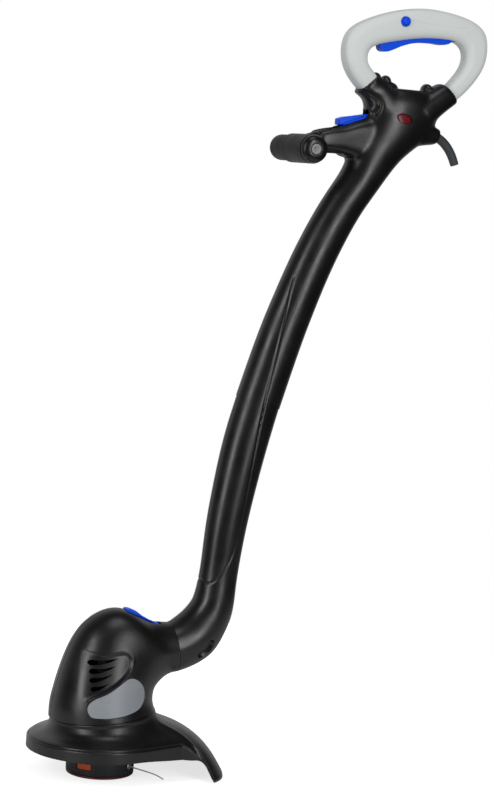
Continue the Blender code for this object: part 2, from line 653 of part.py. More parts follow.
def make_spool():
    """Line head: housing cup, cap, reel, winding, latches, eyelets."""
    hub_top = 46.0 * MM
    inner = SPOOL_RADIUS - SPOOL_WALL
    cup_bottom = CAP_THICKNESS + TOUCH
    cup = ((SHAFT_RADIUS + 0.05 * MM, hub_top), (9.0 * MM, hub_top), (10.0 * MM, SPOOL_TOP + 3 * MM),
           (SPOOL_RADIUS - 4 * MM, SPOOL_TOP), (SPOOL_RADIUS, SPOOL_TOP - 3 * MM),
           (SPOOL_RADIUS, cup_bottom), (inner, cup_bottom), (inner, SPOOL_TOP - 4 * MM),
           (SPOOL_RADIUS - 6 * MM, SPOOL_TOP - SPOOL_WALL),
           (SHAFT_RADIUS + 0.05 * MM, SPOOL_TOP - SPOOL_WALL))
    housing = turned("spool_housing", cup, 32)
    lugs = []
    for number, angle in enumerate((LATCH_ANGLE, LATCH_ANGLE - 180.0)):
        turn = Matrix.Rotation(math.radians(angle), 4, "Z")
        window = box("latch_window_%d" % number, (inner - 4 * MM, -10 * MM, LATCH_HEIGHT - 4 * MM),
                     (SPOOL_RADIUS + 5 * MM, 10 * MM, LATCH_HEIGHT + 4 * MM))
        window.matrix_world = turn
        boolean(housing, window)
        lug = box("latch_blank_%d" % number,
                  (inner - 3.2 * MM, -10 * MM + TOUCH, LATCH_HEIGHT - 4 * MM + TOUCH),
                  (SPOOL_RADIUS + 0.4 * MM, 10 * MM - TOUCH, LATCH_HEIGHT + 4 * MM - TOUCH))
        lug.matrix_world = turn
        bpy.context.view_layer.update()
        lug = realise(lug)
        skin = rod("latch_skin_%d" % number, (0, 0, 0), (0, 0, 0.03), SPOOL_RADIUS - 0.2 * MM, sides=32)
        core = rod("latch_core_%d" % number, (0, 0, -0.001), (0, 0, 0.031), inner - 1.4 * MM, sides=32)
        boolean(lug, skin, "INTERSECT")
        boolean(lug, core)
        lugs.append(finish(lug, ORANGE, "cap_latch_%d" % (number + 1)))
    eyelets = []
    for number, angle in enumerate((EYELET_ANGLE, EYELET_ANGLE + 180.0)):
        a = math.radians(angle)
        out = Vector((math.cos(a), math.sin(a), 0.0))
        at = out * (inner - 1.0 * MM) + Vector((0, 0, EYELET_HEIGHT))
        hole = rod("eyelet_hole_%d" % number, at - out * 3 * MM, at + out * 8 * MM, 3.0 * MM, sides=16)
        boolean(housing, hole)
        long = SPOOL_WALL + 1.6 * MM
        collar = ((LINE_RADIUS + 0.5 * MM, long), (4.4 * MM, long), (4.4 * MM, long - 0.8 * MM),
                  (3.0 * MM - TOUCH, long - 0.9 * MM), (3.0 * MM - TOUCH, 0.0),
                  (LINE_RADIUS + 0.5 * MM, 0.0))
        eyelet = turned("line_eyelet_%d" % (number + 1), collar, 12, placed(at + out * 0.4 * MM, out))
        eyelets.append(finish(eyelet, STEEL))
    finish(housing, SPOOL_BLACK)

    reel_bottom = CAP_THICKNESS + TOUCH
    reel_top = reel_bottom + REEL_HEIGHT
    flange = 1.8 * MM
    bore = REEL_BORE
    reel = ((bore, reel_top), (REEL_RADIUS, reel_top), (REEL_RADIUS, reel_top - flange),
            (REEL_CORE, reel_top - flange), (REEL_CORE, reel_bottom + flange),
            (REEL_RADIUS, reel_bottom + flange), (REEL_RADIUS, reel_bottom), (bore, reel_bottom))
    finish(turned("line_reel", reel, 20), WHITE_PLASTIC)
    wound = ((REEL_CORE + TOUCH, reel_top - flange - TOUCH),
             (REEL_RADIUS - 4 * MM, reel_top - flange - TOUCH),
             (REEL_RADIUS - 3 * MM, (reel_top + reel_bottom) / 2),
             (REEL_RADIUS - 4 * MM, reel_bottom + flange + TOUCH),
             (REEL_CORE + TOUCH, reel_bottom + flange + TOUCH))
    finish(turned("line_winding", wound, 20), NYLON)

    cap = ((0.0, CAP_THICKNESS), (SPOOL_RADIUS - 0.8 * MM, CAP_THICKNESS),
           (SPOOL_RADIUS, CAP_THICKNESS - 0.8 * MM), (SPOOL_RADIUS - 0.6 * MM, 0.8 * MM),
           (SPOOL_RADIUS - 2.4 * MM, 0.0), (0.0, 0.0))
    finish(turned("spool_cap", cap, 32, closed=False), DARK_RED)
    return hub_top


def make_reel_spring():
    """Coil spring between cap and spool housing, through the reel's bore."""
    wire = 0.6 * MM
    coil_radius = REEL_BORE - wire - TOUCH - 0.2 * MM
    low = CAP_THICKNESS + wire + TOUCH
    high = SPOOL_TOP - SPOOL_WALL - wire - TOUCH
    turns, per_turn = 4, 9
    count = turns * per_turn + 1
    curve = bpy.data.curves.new("reel_spring", "CURVE")
    curve.dimensions = "3D"
    curve.bevel_depth = wire
    curve.bevel_resolution = 1
    curve.use_fill_caps = True
    spline = curve.splines.new("POLY")
    spline.points.add(count - 1)
    for i, knot in enumerate(spline.points):
        a = math.tau * i / per_turn
        knot.co = (coil_radius * math.cos(a), coil_radius * math.sin(a),
                   low + (high - low) * i / (count - 1), 1.0)
    spring = realise(add_object("reel_spring", curve))
    mend(spring)
    return finish(spring, STEEL)


def line_path():
    """Points of the cutting line's free end, out of the eyelet and drooping to its tip."""
    a = math.radians(EYELET_ANGLE)
    out = Vector((math.cos(a), math.sin(a), 0.0))
    side = Vector((-math.sin(a), math.cos(a), 0.0))
    start = out * (SPOOL_RADIUS - SPOOL_WALL + 0.4 * MM) + Vector((0, 0, EYELET_HEIGHT))
    points = []
    for step in range(10):
        t = step / 9.0
        points.append(start + out * LINE_LENGTH * t * 0.94 + side * 13 * MM * t * t
                      - Vector((0, 0, 9.5 * MM * t ** 1.6)))
    return points


def tube(name, points, radius, end_radius=None, resolution=2):
    """Round tube with closed ends along points."""
    curve = bpy.data.curves.new(name, "CURVE")
    curve.dimensions = "3D"
    curve.bevel_depth = radius
    curve.bevel_resolution = resolution
    curve.use_fill_caps = True
    spline = curve.splines.new("POLY")
    spline.points.add(len(points) - 1)
    last = len(points) - 1
    for i, (knot, spot) in enumerate(zip(spline.points, points)):
        knot.co = (*spot, 1.0)
        if end_radius is not None:
            knot.radius = 1.0 + (end_radius / radius - 1.0) * i / last
    made = realise(add_object(name, curve))
    return mend(made)


def make_motor(hub_top):
    """Motor: plate, can, end cap, rotor with commutator, fan, bearings, shaft."""
    plate_top = MOTOR_BOTTOM - TOUCH
    plate_low = plate_top - 3.0 * MM
    plate_radius = (HOUSING_STATIONS[0][2] - PLATE_GAP) * MM
    boss_low = plate_low - 9.0 * MM
    bore = BEARING_RADIUS + TOUCH
    plate = ((bore, plate_top), (plate_radius, plate_top), (plate_radius, plate_low),
             (bore + 2.5 * MM, plate_low), (bore + 2.5 * MM, boss_low), (SHAFT_RADIUS + 1.5 * MM, boss_low),
             (SHAFT_RADIUS + 1.5 * MM, boss_low + 1.8 * MM), (bore, boss_low + 1.8 * MM))
    finish(turned("motor_plate", plate, 20), WHITE_PLASTIC)
    bearing_height = 7.0 * MM
    low_bearing = boss_low + 1.8 * MM + TOUCH
    can_top = MOTOR_BOTTOM + MOTOR_LENGTH
    inner = MOTOR_RADIUS - 2.0 * MM
    stator = ROTOR_RADIUS + 0.8 * MM
    can = ((inner, can_top), (MOTOR_RADIUS, can_top), (MOTOR_RADIUS, MOTOR_BOTTOM),
           (inner, MOTOR_BOTTOM), (inner, MOTOR_BOTTOM + 8 * MM), (stator, MOTOR_BOTTOM + 9 * MM),
           (stator, can_top - 18 * MM), (inner, can_top - 17 * MM))
    finish(turned("motor_can", can, 20), STEEL)
    cap_low = can_top + TOUCH
    end_cap = ((bore, cap_low + 10 * MM), (bore + 3 * MM, cap_low + 10 * MM),
               (bore + 4 * MM, cap_low + 3 * MM),
               (MOTOR_RADIUS, cap_low + 2.5 * MM), (MOTOR_RADIUS, cap_low),
               (SHAFT_RADIUS + 1.5 * MM, cap_low), (SHAFT_RADIUS + 1.5 * MM, cap_low + 2 * MM),
               (bore, cap_low + 2 * MM))
    finish(turned("motor_end_cap", end_cap, 20), WHITE_PLASTIC)
    high_bearing = cap_low + 2 * MM + TOUCH
    bearing_bore = SHAFT_RADIUS + 0.08 * MM
    for name, low in (("bearing_lower", low_bearing), ("bearing_upper", high_bearing)):
        race = ((bearing_bore, low + bearing_height), (BEARING_RADIUS, low + bearing_height),
                (BEARING_RADIUS, low), (bearing_bore, low))
        finish(turned(name, race, 24), STEEL)
    shaft_top = high_bearing + bearing_height + 1.5 * MM
    finish(rod("motor_shaft", (0, 0, SPOOL_TOP - SPOOL_WALL + 0.5 * MM), (0, 0, shaft_top),
               SHAFT_RADIUS, sides=16), STEEL)
    grip = SHAFT_RADIUS + 0.05 * MM
    commutator = 12.0 * MM
    rotor = ((grip, can_top - 3 * MM), (commutator, can_top - 3 * MM), (commutator, can_top - 14 * MM),
             (ROTOR_RADIUS - 5 * MM, can_top - 15 * MM), (ROTOR_RADIUS - 4 * MM, can_top - 19 * MM),
             (ROTOR_RADIUS, can_top - 20 * MM), (ROTOR_RADIUS, MOTOR_BOTTOM + 12 * MM),
             (ROTOR_RADIUS - 4 * MM, MOTOR_BOTTOM + 11 * MM), (ROTOR_RADIUS - 5 * MM, MOTOR_BOTTOM + 5 * MM),
             (grip, MOTOR_BOTTOM + 5 * MM))
    finish(turned("rotor", rotor, 20), COPPER)
    fan_low = hub_top + 3.0 * MM
    hub = rod("fan", (0, 0, fan_low), (0, 0, fan_low + 8 * MM), SHAFT_RADIUS + 5 * MM, sides=20)
    disc = rod("fan_disc", (0, 0, fan_low + 6.2 * MM), (0, 0, fan_low + 8 * MM), FAN_RADIUS, sides=24)
    boolean(hub, disc, "UNION")
    for number in range(8):
        blade = box("fan_blade_%d" % number, (SHAFT_RADIUS + 3 * MM, -0.8 * MM, fan_low),
                    (FAN_RADIUS - 1 * MM, 0.8 * MM, fan_low + 7 * MM))
        blade.matrix_world = Matrix.Rotation(math.tau * number / 8, 4, "Z") @ \
            Matrix.Translation((0.0, 3 * MM, 0.0))
        boolean(hub, blade, "UNION")
    eye = rod("fan_eye", (0, 0, fan_low - 0.01), (0, 0, fan_low + 0.03), grip, sides=16)
    boolean(hub, eye)
    finish(hub, WHITE_PLASTIC)


def make_lower_shaft():
    """Elbow and lower shaft halves, with the spigot that enters the upper shaft."""
    stations = [(front, rear, width) for front, rear, width in LOWER_STATIONS]
    for x, z, half, lean in LOWER_AXIS:
        stations.append((*across(x, z, half, lean), half * SHAFT_FLATNESS))
    outer = lofted("lower_form", [ring(*s, sides=10) for s in stations])
    inner = lofted("lower_cavity",
                   extended([ring(*s, inset=WALL, sides=8) for s in stations], 6 * MM, 8 * MM))
    x, z, half, lean = UPPER_AXIS[0]
    slope = math.radians(lean)
    ahead = (math.sin(slope), math.cos(slope))
    spigot_rings = []
    for share in (-0.3, 0.0, 0.55, 1.0):
        along = SPIGOT_LENGTH * share
        centre = (x + ahead[0] * along, z + ahead[1] * along)
        bend = (UPPER_AXIS[1][3] - lean) * along / 72.0
        fit = half - WALL / MM - 1.3
        spigot_rings.append(ring(*across(*centre, fit, lean + bend), fit * SHAFT_FLATNESS, sides=8))
    spigot = lofted("spigot_form", spigot_rings)
    bore_rings = []
    for share in (-0.6, 0.0, 0.55, 1.2):
        along = SPIGOT_LENGTH * share
        centre = (x + ahead[0] * along, z + ahead[1] * along)
        bend = (UPPER_AXIS[1][3] - lean) * along / 72.0
        fit = half - WALL / MM - 3.8
        bore_rings.append(ring(*across(*centre, fit, lean + bend), fit * SHAFT_FLATNESS, sides=6))
    bore = lofted("spigot_bore", bore_rings)
    boolean(outer, spigot, "UNION")
    boolean(outer, inner_trim(inner, "lower_cavity_cut"))
    boolean(outer, bore)
    outer = realise(outer)
    left, right = halves(outer, "lower_shaft_left", "lower_shaft_right", BLACK)
    return left, right


def inner_trim(cavity, name):
    """Stop the lower shaft's cavity short of the spigot's shoulder, so that a wall is left."""
    x, z, half, lean = LOWER_AXIS[-1]
    slope = math.radians(lean)
    up = Vector((math.sin(slope), 0.0, math.cos(slope)))
    at = point((x, z)) - up * WALL
    stop = rod(name + "_stop", at, at + up * 0.05, 0.06, sides=12)
    boolean(cavity, stop)
    return realise(cavity)


def loop_rings(inset=0.0, sides=8, square=0.82):
    """Rings round the loop handle's path."""
    return [ring(outer, inner, LOOP_HALF_THICKNESS, sides=sides, inset=inset, square=square)
            for outer, inner in LOOP_STATIONS]


def make_loop():
    """Loop handle halves, with the trigger slot and the lock button's hole."""
    form = lofted("loop_form", loop_rings())
    skin = copy_of(form, "loop_skin")
    cavity = lofted("loop_cavity", extended(loop_rings(WALL, 6, 1.0), 5 * MM, 5 * MM))
    boolean(form, cavity)
    form = realise(form)
    left, right = halves(form, "handle_loop_left", "handle_loop_right", LIGHT_GREY)
    half = TRIGGER_WIDTH / 2 + RUN
    slot = box("trigger_slot", (0.3130, -half, 0.885), (0.4160, half, 0.9226))
    boolean(left, slot)
    boolean(right, slot)
    hole = rod("lock_hole", point(LOCK_CENTRE, -0.03), point(LOCK_CENTRE, -0.004),
               LOCK_RADIUS + 0.35 * MM, sides=24)
    boolean(left, hole)
    return left, right, skin


TRIGGER_OUTLINE = ((314.2, 903.5), (314.6, 897.5), (318.0, 894.2), (324.5, 893.8), (332.0, 896.6),
                   (344.0, 902.2), (356.0, 906.0), (370.0, 908.0), (386.0, 908.2), (400.0, 906.8),
                   (409.0, 909.0), (414.5, 914.0), (414.5, 920.6), (403.0, 921.4), (397.0, 917.4),
                   (372.0, 916.8), (340.0, 913.6), (318.0, 909.5))


def make_trigger(left, right):
    """Trigger lever on its pin, torsion spring, switch, lock button and its spring plate."""
    half = TRIGGER_WIDTH / 2
    trigger = outline_prism("trigger", TRIGGER_OUTLINE, -half, half)
    bevelled(trigger, 1.3 * MM)
    eye = rod("trigger_eye", point(TRIGGER_PIVOT, -0.02), point(TRIGGER_PIVOT, 0.02),
              TRIGGER_PIN_RADIUS + 0.08 * MM, sides=20)
    boolean(trigger, eye)
    finish(trigger, BLUE)
    reach = TRIGGER_PIN_REACH
    pin = rod("trigger_pin", point(TRIGGER_PIVOT, -reach), point(TRIGGER_PIVOT, reach),
              TRIGGER_PIN_RADIUS, sides=20)
    finish(pin, STEEL)
    for obj, side in ((left, -1.0), (right, 1.0)):
        boss = rod("pin_boss_%d" % (side > 0), point(TRIGGER_PIVOT, side * (half + RUN + 0.2 * MM)),
                   point(TRIGGER_PIVOT, side * (reach + 0.9 * MM)), 4.8 * MM, sides=12)
        boolean(obj, boss, "UNION")
        bore = rod("pin_bore_%d" % (side > 0), point(TRIGGER_PIVOT, side * 2 * MM),
                   point(TRIGGER_PIVOT, side * (reach + 0.15 * MM)), TRIGGER_PIN_RADIUS + 0.08 * MM,
                   sides=18)
        boolean(obj, bore)

    switch_low = 0.9232
    body = box("switch", (0.360, -0.007, switch_low), (0.392, 0.007, 0.9385))
    bevelled(body, 0.8 * MM, 1)
    plunger = box("switch_plunger_blank", (0.364, -0.003, switch_low - 2.9 * MM),
                  (0.369, 0.003, switch_low + 1 * MM))
    boolean(body, plunger, "UNION")
    finish(body, PLUG_GREY, "switch")
    for obj, side in ((left, -1.0), (right, 1.0)):
        for number, x in enumerate((0.3585, 0.3932)):
            inner_y = min(side * 0.0125, side * 0.001)
            rib = box("switch_rib_%d_%d" % (side > 0, number), (x - 0.0012, inner_y, 0.926),
                      (x + 0.0007, max(side * 0.0125, side * 0.001), 0.940))
            boolean(obj, rib, "UNION")

    face = 6.2 * MM
    top = LOOP_HALF_THICKNESS * MM + LOCK_PROUD - face
    lock_profile = ((0.0, top), (LOCK_RADIUS * 0.7, top), (LOCK_RADIUS, top - 1.3 * MM), (LOCK_RADIUS, 0.0),
                    (LOCK_RADIUS + 1.0 * MM, 0.0), (LOCK_RADIUS + 1.0 * MM, -0.0014), (0.0, -0.0014))
    lock = turned("lock_button", lock_profile, 20,
                  placed(point(LOCK_CENTRE, -face), (0.0, -1.0, 0.0)), closed=False)
    finish(lock, BLUE)


def make_body(loop_skin):
    """Upper shaft and handle body halves: sockets for the loop, arm fork, cord lug."""
    stations = []
    for x, z, half, lean in UPPER_AXIS:
        stations.append((*across(x, z, half, lean), half * SHAFT_FLATNESS))
    stations += list(BODY_STATIONS)
    form = lofted("body_form", [ring(*s, sides=10) for s in stations])

    left_collar = [ring(a, b, w, sides=8, square=0.85) for a, b, w in (
        ((318.0, 806.0), (352.0, 838.0), 20.0), ((301.0, 824.0), (333.0, 852.0), 18.5),
        ((288.0, 843.6), (314.6, 865.8), 17.0))]
    right_collar = [ring(a, b, w, sides=8, square=0.85) for a, b, w in (
        ((388.0, 806.0), (362.0, 836.0), 20.0), ((406.0, 823.5), (386.0, 852.0), 18.5),
        ((424.5, 838.6), (402.6, 859.6), 17.0))]
    lug = [ring(a, b, w, sides=8, square=0.85) for a, b, w in (
        ((370.0, 812.0), (362.0, 778.0), 18.0), ((390.0, 807.0), (383.0, 781.5), 15.0),
        ((405.0, 803.0), (399.5, 784.0), 11.5))]
    cheek = [ring(a, b, w, sides=8, square=0.85) for a, b, w in (
        ((318.0, 815.0), (318.0, 745.0), 24.0), ((294.0, 810.0), (285.0, 754.0), 22.5),
        ((272.0, 802.0), (268.0, 762.0), CHEEK_WIDTH / 2), ((258.0, 799.0), (257.5, 764.5), 19.0),
        ((246.0, 795.5), (247.5, 767.5), 15.6))]
    for name, rings in (("left_collar", left_collar), ("right_collar", right_collar),
                        ("cord_lug", lug), ("arm_cheek", cheek)):
        boolean(form, lofted(name, rings), "UNION")
    for name, at, size in (("lip_ball_1", (325.5, 857.0), 7.0), ("lip_ball_2", (383.5, 852.0), 6.6)):
        boolean(form, ball(name, point(at), (size * MM, 12 * MM, size * MM), 12, 8), "UNION")
    form = realise(form)
    skin = copy_of(form, "body_skin")

    cavity_rings = [ring(*s, inset=WALL, sides=8) for s in stations[:-1]]
    cavity = lofted("body_cavity", extended(cavity_rings, 8 * MM, 0.0))
    boolean(form, cavity)
    socket = grown(loop_skin, TOUCH, "loop_socket")
    boolean(form, socket)
    return realise(form), skin


def make_arm_slot(form):
    """Fork between the body's cheeks for the front handle's barrel, and its pin."""
    half = ARM_WIDTH / 2 + RUN
    px, pz = ARM_PIVOT
    round_wall = ARM_BARREL + 0.9
    mouth = [(px - 17.0, pz + 17.23), (px - 18.0, pz + 24.0), (px - 46.0, pz + 24.0),
             (px - 46.0, pz - 30.0), (px - 9.5, pz - 30.0)]
    for step in range(14):
        a = math.radians(-114.0 + 18.0 * step)
        mouth.append((px + round_wall * math.cos(a), pz + round_wall * math.sin(a)))
    pocket = outline_prism("arm_pocket", mouth, -half, half)
    reach = CHEEK_WIDTH / 2 * MM - 2.5 * MM
    bore = rod("arm_pin_bore", point(ARM_PIVOT, -reach - 0.15 * MM), point(ARM_PIVOT, reach + 0.15 * MM),
               3.1 * MM, sides=20)
    boolean(pocket, bore, "UNION")
    well = outline_prism("arm_button_well", ARM_BUTTON_WELL, -ARM_BUTTON_HALF - RUN, ARM_BUTTON_HALF + RUN)
    boolean(pocket, well, "UNION")
    boolean(form, realise(pocket))
    pin = rod("arm_pin", point(ARM_PIVOT, -reach), point(ARM_PIVOT, reach), 3.0 * MM, sides=20)
    finish(pin, STEEL)


def make_front_handle():
    """Arm with barrel and hub, far sleeve, near cap, bolt and plug."""
    arm_rings = [ring(a, b, w, sides=8, square=0.85) for a, b, w in (
        ((280.0, 797.0), (280.0, 764.5), ARM_WIDTH / MM / 2 - 0.4),
        ((262.0, 795.5), (262.5, 766.5), ARM_WIDTH / MM / 2 - 0.4),
        ((244.0, 791.8), (245.0, 765.0), 12.2),
        ((227.0, 786.5), (228.0, 760.5), 11.4), ((214.0, 783.0), (214.5, 757.0), 11.0))]
    arm = lofted("front_arm", arm_rings)
    barrel = rod("arm_barrel", point(ARM_PIVOT, -ARM_WIDTH / 2), point(ARM_PIVOT, ARM_WIDTH / 2),
                 ARM_BARREL * MM, sides=32)
    hub = rod("arm_hub", point(GRIP_CENTRE, -GRIP_NEAR_END), point(GRIP_CENTRE, GRIP_STEP),
              GRIP_RADIUS, sides=32)
    bevelled(hub, 1.0 * MM, 1)
    boolean(arm, barrel, "UNION")
    boolean(arm, hub, "UNION")
    eye = rod("arm_eye", point(ARM_PIVOT, -0.05), point(ARM_PIVOT, 0.05), 3.08 * MM, sides=20)
    boolean(arm, eye)
    bolt_hole = rod("hub_bore", point(GRIP_CENTRE, -0.08), point(GRIP_CENTRE, 0.08),
                    BOLT_RADIUS + 0.2 * MM, sides=20)
    boolean(arm, bolt_hole)
    finish(arm, GRIP_BLACK)

    r = GRIP_FAR_RADIUS
    start = GRIP_STEP + TOUCH
    long = GRIP_FAR_END - start
    bore_end = long - 18 * MM
    hole = BOLT_RADIUS + 0.2 * MM
    sleeve = [(0.0, long)]
    for step in range(1, 7):
        a = math.radians(90 - 15 * step)
        sleeve.append((r * math.cos(a), long - r + r * math.sin(a)))
    sleeve += [(r, 0.0), (hole, 0.0), (hole, bore_end), (0.0, bore_end)]
    far = turned("grip_far_sleeve", sleeve, 28, placed(point(GRIP_CENTRE, start), (0, 1, 0)), closed=False)
    finish(far, GRIP_BLACK)

    r = GRIP_RADIUS - 1.0 * MM
    depth = 9.0 * MM
    well = 6.0 * MM
    cap = [(well, depth), (r - 5 * MM, depth), (r - 2 * MM, depth - 1.2 * MM),
           (r, depth - 4.6 * MM), (r, 0.0),
           (hole, 0.0), (hole, 3 * MM), (well, 3 * MM)]
    near = turned("grip_near_cap", cap, 28,
                  placed(point(GRIP_CENTRE, -GRIP_NEAR_END - TOUCH), (0, -1, 0)))
    finish(near, GLOSS_BLACK)
    seat = -GRIP_NEAR_END - TOUCH * 2 - 3 * MM
    length = -seat + start + bore_end - 2 * MM
    head = ((0.0, 2.4 * MM), (4.8 * MM, 2.4 * MM), (4.8 * MM, 0.0), (BOLT_RADIUS, 0.0),
            (BOLT_RADIUS, -length), (0.0, -length))
    finish(turned("grip_bolt", head, 20, placed(point(GRIP_CENTRE, seat), (0, -1, 0)), closed=False), STEEL)
    plug_at = seat - 2.4 * MM - TOUCH
    plug = ((0.0, 2.0 * MM), (1.2 * MM, 2.2 * MM), (1.6 * MM, 3.2 * MM), (well - TOUCH, 3.2 * MM),
            (well - TOUCH, 0.0), (0.0, 0.0))
    finish(turned("grip_plug", plug, 20, placed(point(GRIP_CENTRE, plug_at), (0, -1, 0)), closed=False),
           PLUG_GREY)


def make_arm_button():
    """Blue wedge button over the barrel, in a slot through the top of the fork."""
    button = outline_prism("arm_button", ARM_BUTTON_OUTLINE, -ARM_BUTTON_HALF, ARM_BUTTON_HALF)
    bevelled(button, 0.8 * MM)
    finish(button, BLUE)


def make_lens(left, skin):
    """Indicator lens in a slanted oval window, with its lamp."""
    turn = math.radians(LENS_SLOPE)
    def oval(scale):
        points = []
        for step in range(16):
            a = math.tau * step / 16
            u, v = LENS_HALF_LENGTH * math.cos(a) * scale, LENS_HALF_HEIGHT * math.sin(a) * scale
            points.append((LENS_CENTRE[0] + u * math.cos(turn) - v * math.sin(turn),
                           LENS_CENTRE[1] + u * math.sin(turn) + v * math.cos(turn)))
        return points
    window = outline_prism("lens_window", oval(1.0), -0.05, -0.015)
    boolean(left, window)
    front = grown(skin, -1.2 * MM, "lens_front")
    back = grown(skin, -3.0 * MM, "lens_back")
    lens = outline_prism("lens_blank", oval(0.965), -0.05, -0.015)
    boolean(lens, front, "INTERSECT")
    boolean(lens, back)
    lens = realise(lens)
    finish(lens, LENS_RED, "indicator_lens")


def make_boot(form):
    """Cord boot with its collar, held in the lug, and the clamp behind it."""
    points = [point(p) for p in BOOT_PATH]
    boot = tube("cord_boot", points, BOOT_RADIUS, BOOT_TIP_RADIUS)
    long_path = [points[0] + (points[0] - points[1]) * 2] + points + [points[-1] * 2 - points[-2]]
    bore = tube("boot_bore", long_path,
                CORD_RADIUS, resolution=1)
    axis = (points[1] - points[0]).normalized()
    collar = rod("boot_collar", points[0] - axis * 4 * MM, points[0] + axis * 1 * MM, BOOT_RADIUS + 2.2 * MM,
                 sides=20)
    boolean(boot, collar, "UNION")
    boolean(boot, bore)
    finish(boot, BOOT_GREY)
    passage = rod("boot_passage", points[0] - axis * 0.02, points[0] + axis * 0.03,
                  BOOT_RADIUS + TOUCH, sides=18)
    groove = rod("boot_groove", points[0] - axis * (4 * MM + TOUCH), points[0] + axis * (1 * MM + TOUCH),
                 BOOT_RADIUS + 2.2 * MM + TOUCH, sides=18)
    boolean(passage, groove, "UNION")
    boolean(form, realise(passage))


def make_swivel():
    """Swivel tube across the neck seam, flanged in both casings."""
    axis = neck_axis()
    centre = point(NECK_CENTRE)
    tube_radius = (NECK_RADIUS - 6.6) * MM
    flange = (NECK_RADIUS - 4.3) * MM
    bore = tube_radius - 2.4 * MM
    ahead, behind = 5.0 * MM, 14.0 * MM
    thick = 2.6 * MM
    profile = ((bore, ahead), (flange, ahead), (flange, ahead - thick), (tube_radius, ahead - thick),
               (tube_radius, -behind + thick), (flange, -behind + thick), (flange, -behind), (bore, -behind))
    return finish(turned("swivel_tube", profile, 24, placed(centre, axis)), WHITE_PLASTIC)


housing_left, housing_right, housing_skin = make_housing()
make_head_button(housing_left, housing_right)
make_guard()
spool_hub_top = make_spool()
make_reel_spring()
finish(tube("cutting_line", line_path(), LINE_RADIUS, resolution=1), NYLON)
make_motor(spool_hub_top)
make_swivel()
lower_left, lower_right = make_lower_shaft()
loop_left, loop_right, loop_skin = make_loop()
make_trigger(loop_left, loop_right)
body_form, body_skin = make_body(loop_skin)
make_arm_slot(body_form)
make_boot(body_form)
body_left, body_right = halves(realise(body_form), "body_left", "body_right", BLACK)
make_front_handle()
make_arm_button()
make_lens(body_left, body_skin)
for half in (housing_left, housing_right, body_left, body_right, loop_left, loop_right):
    weld = half.modifiers.new("Weld", "WELD")
    weld.merge_threshold = 0.00005
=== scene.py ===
import math

import bmesh
import bpy
import numpy as np
from mathutils import Matrix, Vector
from mathutils.bvhtree import BVHTree


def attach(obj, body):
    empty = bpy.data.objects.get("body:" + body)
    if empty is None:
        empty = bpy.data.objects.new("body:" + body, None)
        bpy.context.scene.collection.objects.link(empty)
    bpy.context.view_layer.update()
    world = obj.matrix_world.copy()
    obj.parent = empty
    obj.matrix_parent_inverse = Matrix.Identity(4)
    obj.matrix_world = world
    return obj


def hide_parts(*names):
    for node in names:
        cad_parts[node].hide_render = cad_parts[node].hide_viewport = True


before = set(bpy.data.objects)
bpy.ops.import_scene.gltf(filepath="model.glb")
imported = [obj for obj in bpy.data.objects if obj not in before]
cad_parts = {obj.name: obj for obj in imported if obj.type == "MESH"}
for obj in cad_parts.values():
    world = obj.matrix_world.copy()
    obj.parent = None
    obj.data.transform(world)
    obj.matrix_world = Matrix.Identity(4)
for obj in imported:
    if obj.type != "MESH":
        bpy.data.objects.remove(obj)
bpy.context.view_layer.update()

# Camera, floor and light
# The tool stands in front of the lens as in the photograph: seen from its left side, a little
# from the front and from just above the middle. White room, pale floor, three soft lamps. In the
# plastic the room mirrors bright behind the tool and dark in front, so that only its edges shine.
CAMERA_SPOT = (-0.94133, -2.74297, 0.76714)
CAMERA_RIGHT = (0.92790, -0.36867, 0.05552)
CAMERA_UP = (-0.01305, 0.11671, 0.99308)
CAMERA_AHEAD = (0.37259, 0.92220, -0.10349)
FOCAL_LENGTH = 108.99             # mm, on a sensor 36 mm wide
MIRRORED_FRONT, MIRRORED_BACK = 0.03, 0.7   # brightness of the room as the plastic mirrors it
ROOM_FILL = 0.34                  # brightness of the room as it lights matt faces
FLOOR_RADIUS = 0.85               # m
FLOOR_MIDDLE = (0.1, 0.1, -0.0006)
FLOOR_GLOW = (0.72, 1.1)          # near the tool and further out, where it fades into the white
TOOL_MIDDLE = (0.15, 0.0, 0.50)


def placed(name, data):
    """A new object for a mesh, a curve, a lamp or a camera, linked into the scene."""
    made = bpy.data.objects.new(name, data)
    bpy.context.scene.collection.objects.link(made)
    return made


lens = bpy.data.cameras.new("camera")
lens.lens = FOCAL_LENGTH
lens.sensor_width = 36.0
lens.clip_start = 0.05
lens.clip_end = 60.0
camera = placed("camera", lens)
turned = Matrix((CAMERA_RIGHT, CAMERA_UP, [-c for c in CAMERA_AHEAD])).transposed().to_4x4()
turned.translation = CAMERA_SPOT
camera.matrix_world = turned
bpy.context.scene.camera = camera
bpy.context.scene.view_settings.view_transform = "Standard"


def lit(hex_colour):
    """Linear colour of an sRGB hex value, by the sRGB curve, with full alpha."""
    parts = [int(hex_colour[i:i + 2], 16) / 255 for i in (1, 3, 5)]
    return tuple(c / 12.92 if c <= 0.04045 else ((c + 0.055) / 1.055) ** 2.4 for c in parts) + (1.0,)


def feed(node, **inputs):
    """Sets a node's inputs, by name or as i and a number: a socket links in, any value is set."""
    for key, value in inputs.items():
        socket = node.inputs[int(key[1:]) if key[1:].isdigit() else key.replace("_", " ")]
        if isinstance(value, bpy.types.NodeSocket):
            node.id_data.links.new(value, socket)
        else:
            socket.default_value = value


def add(tree, kind, settings=None, **inputs):
    """One new node with its settings and inputs."""
    made = tree.nodes.new(kind)
    for key, value in (settings or {}).items():
        setattr(made, key, value)
    feed(made, **inputs)
    return made


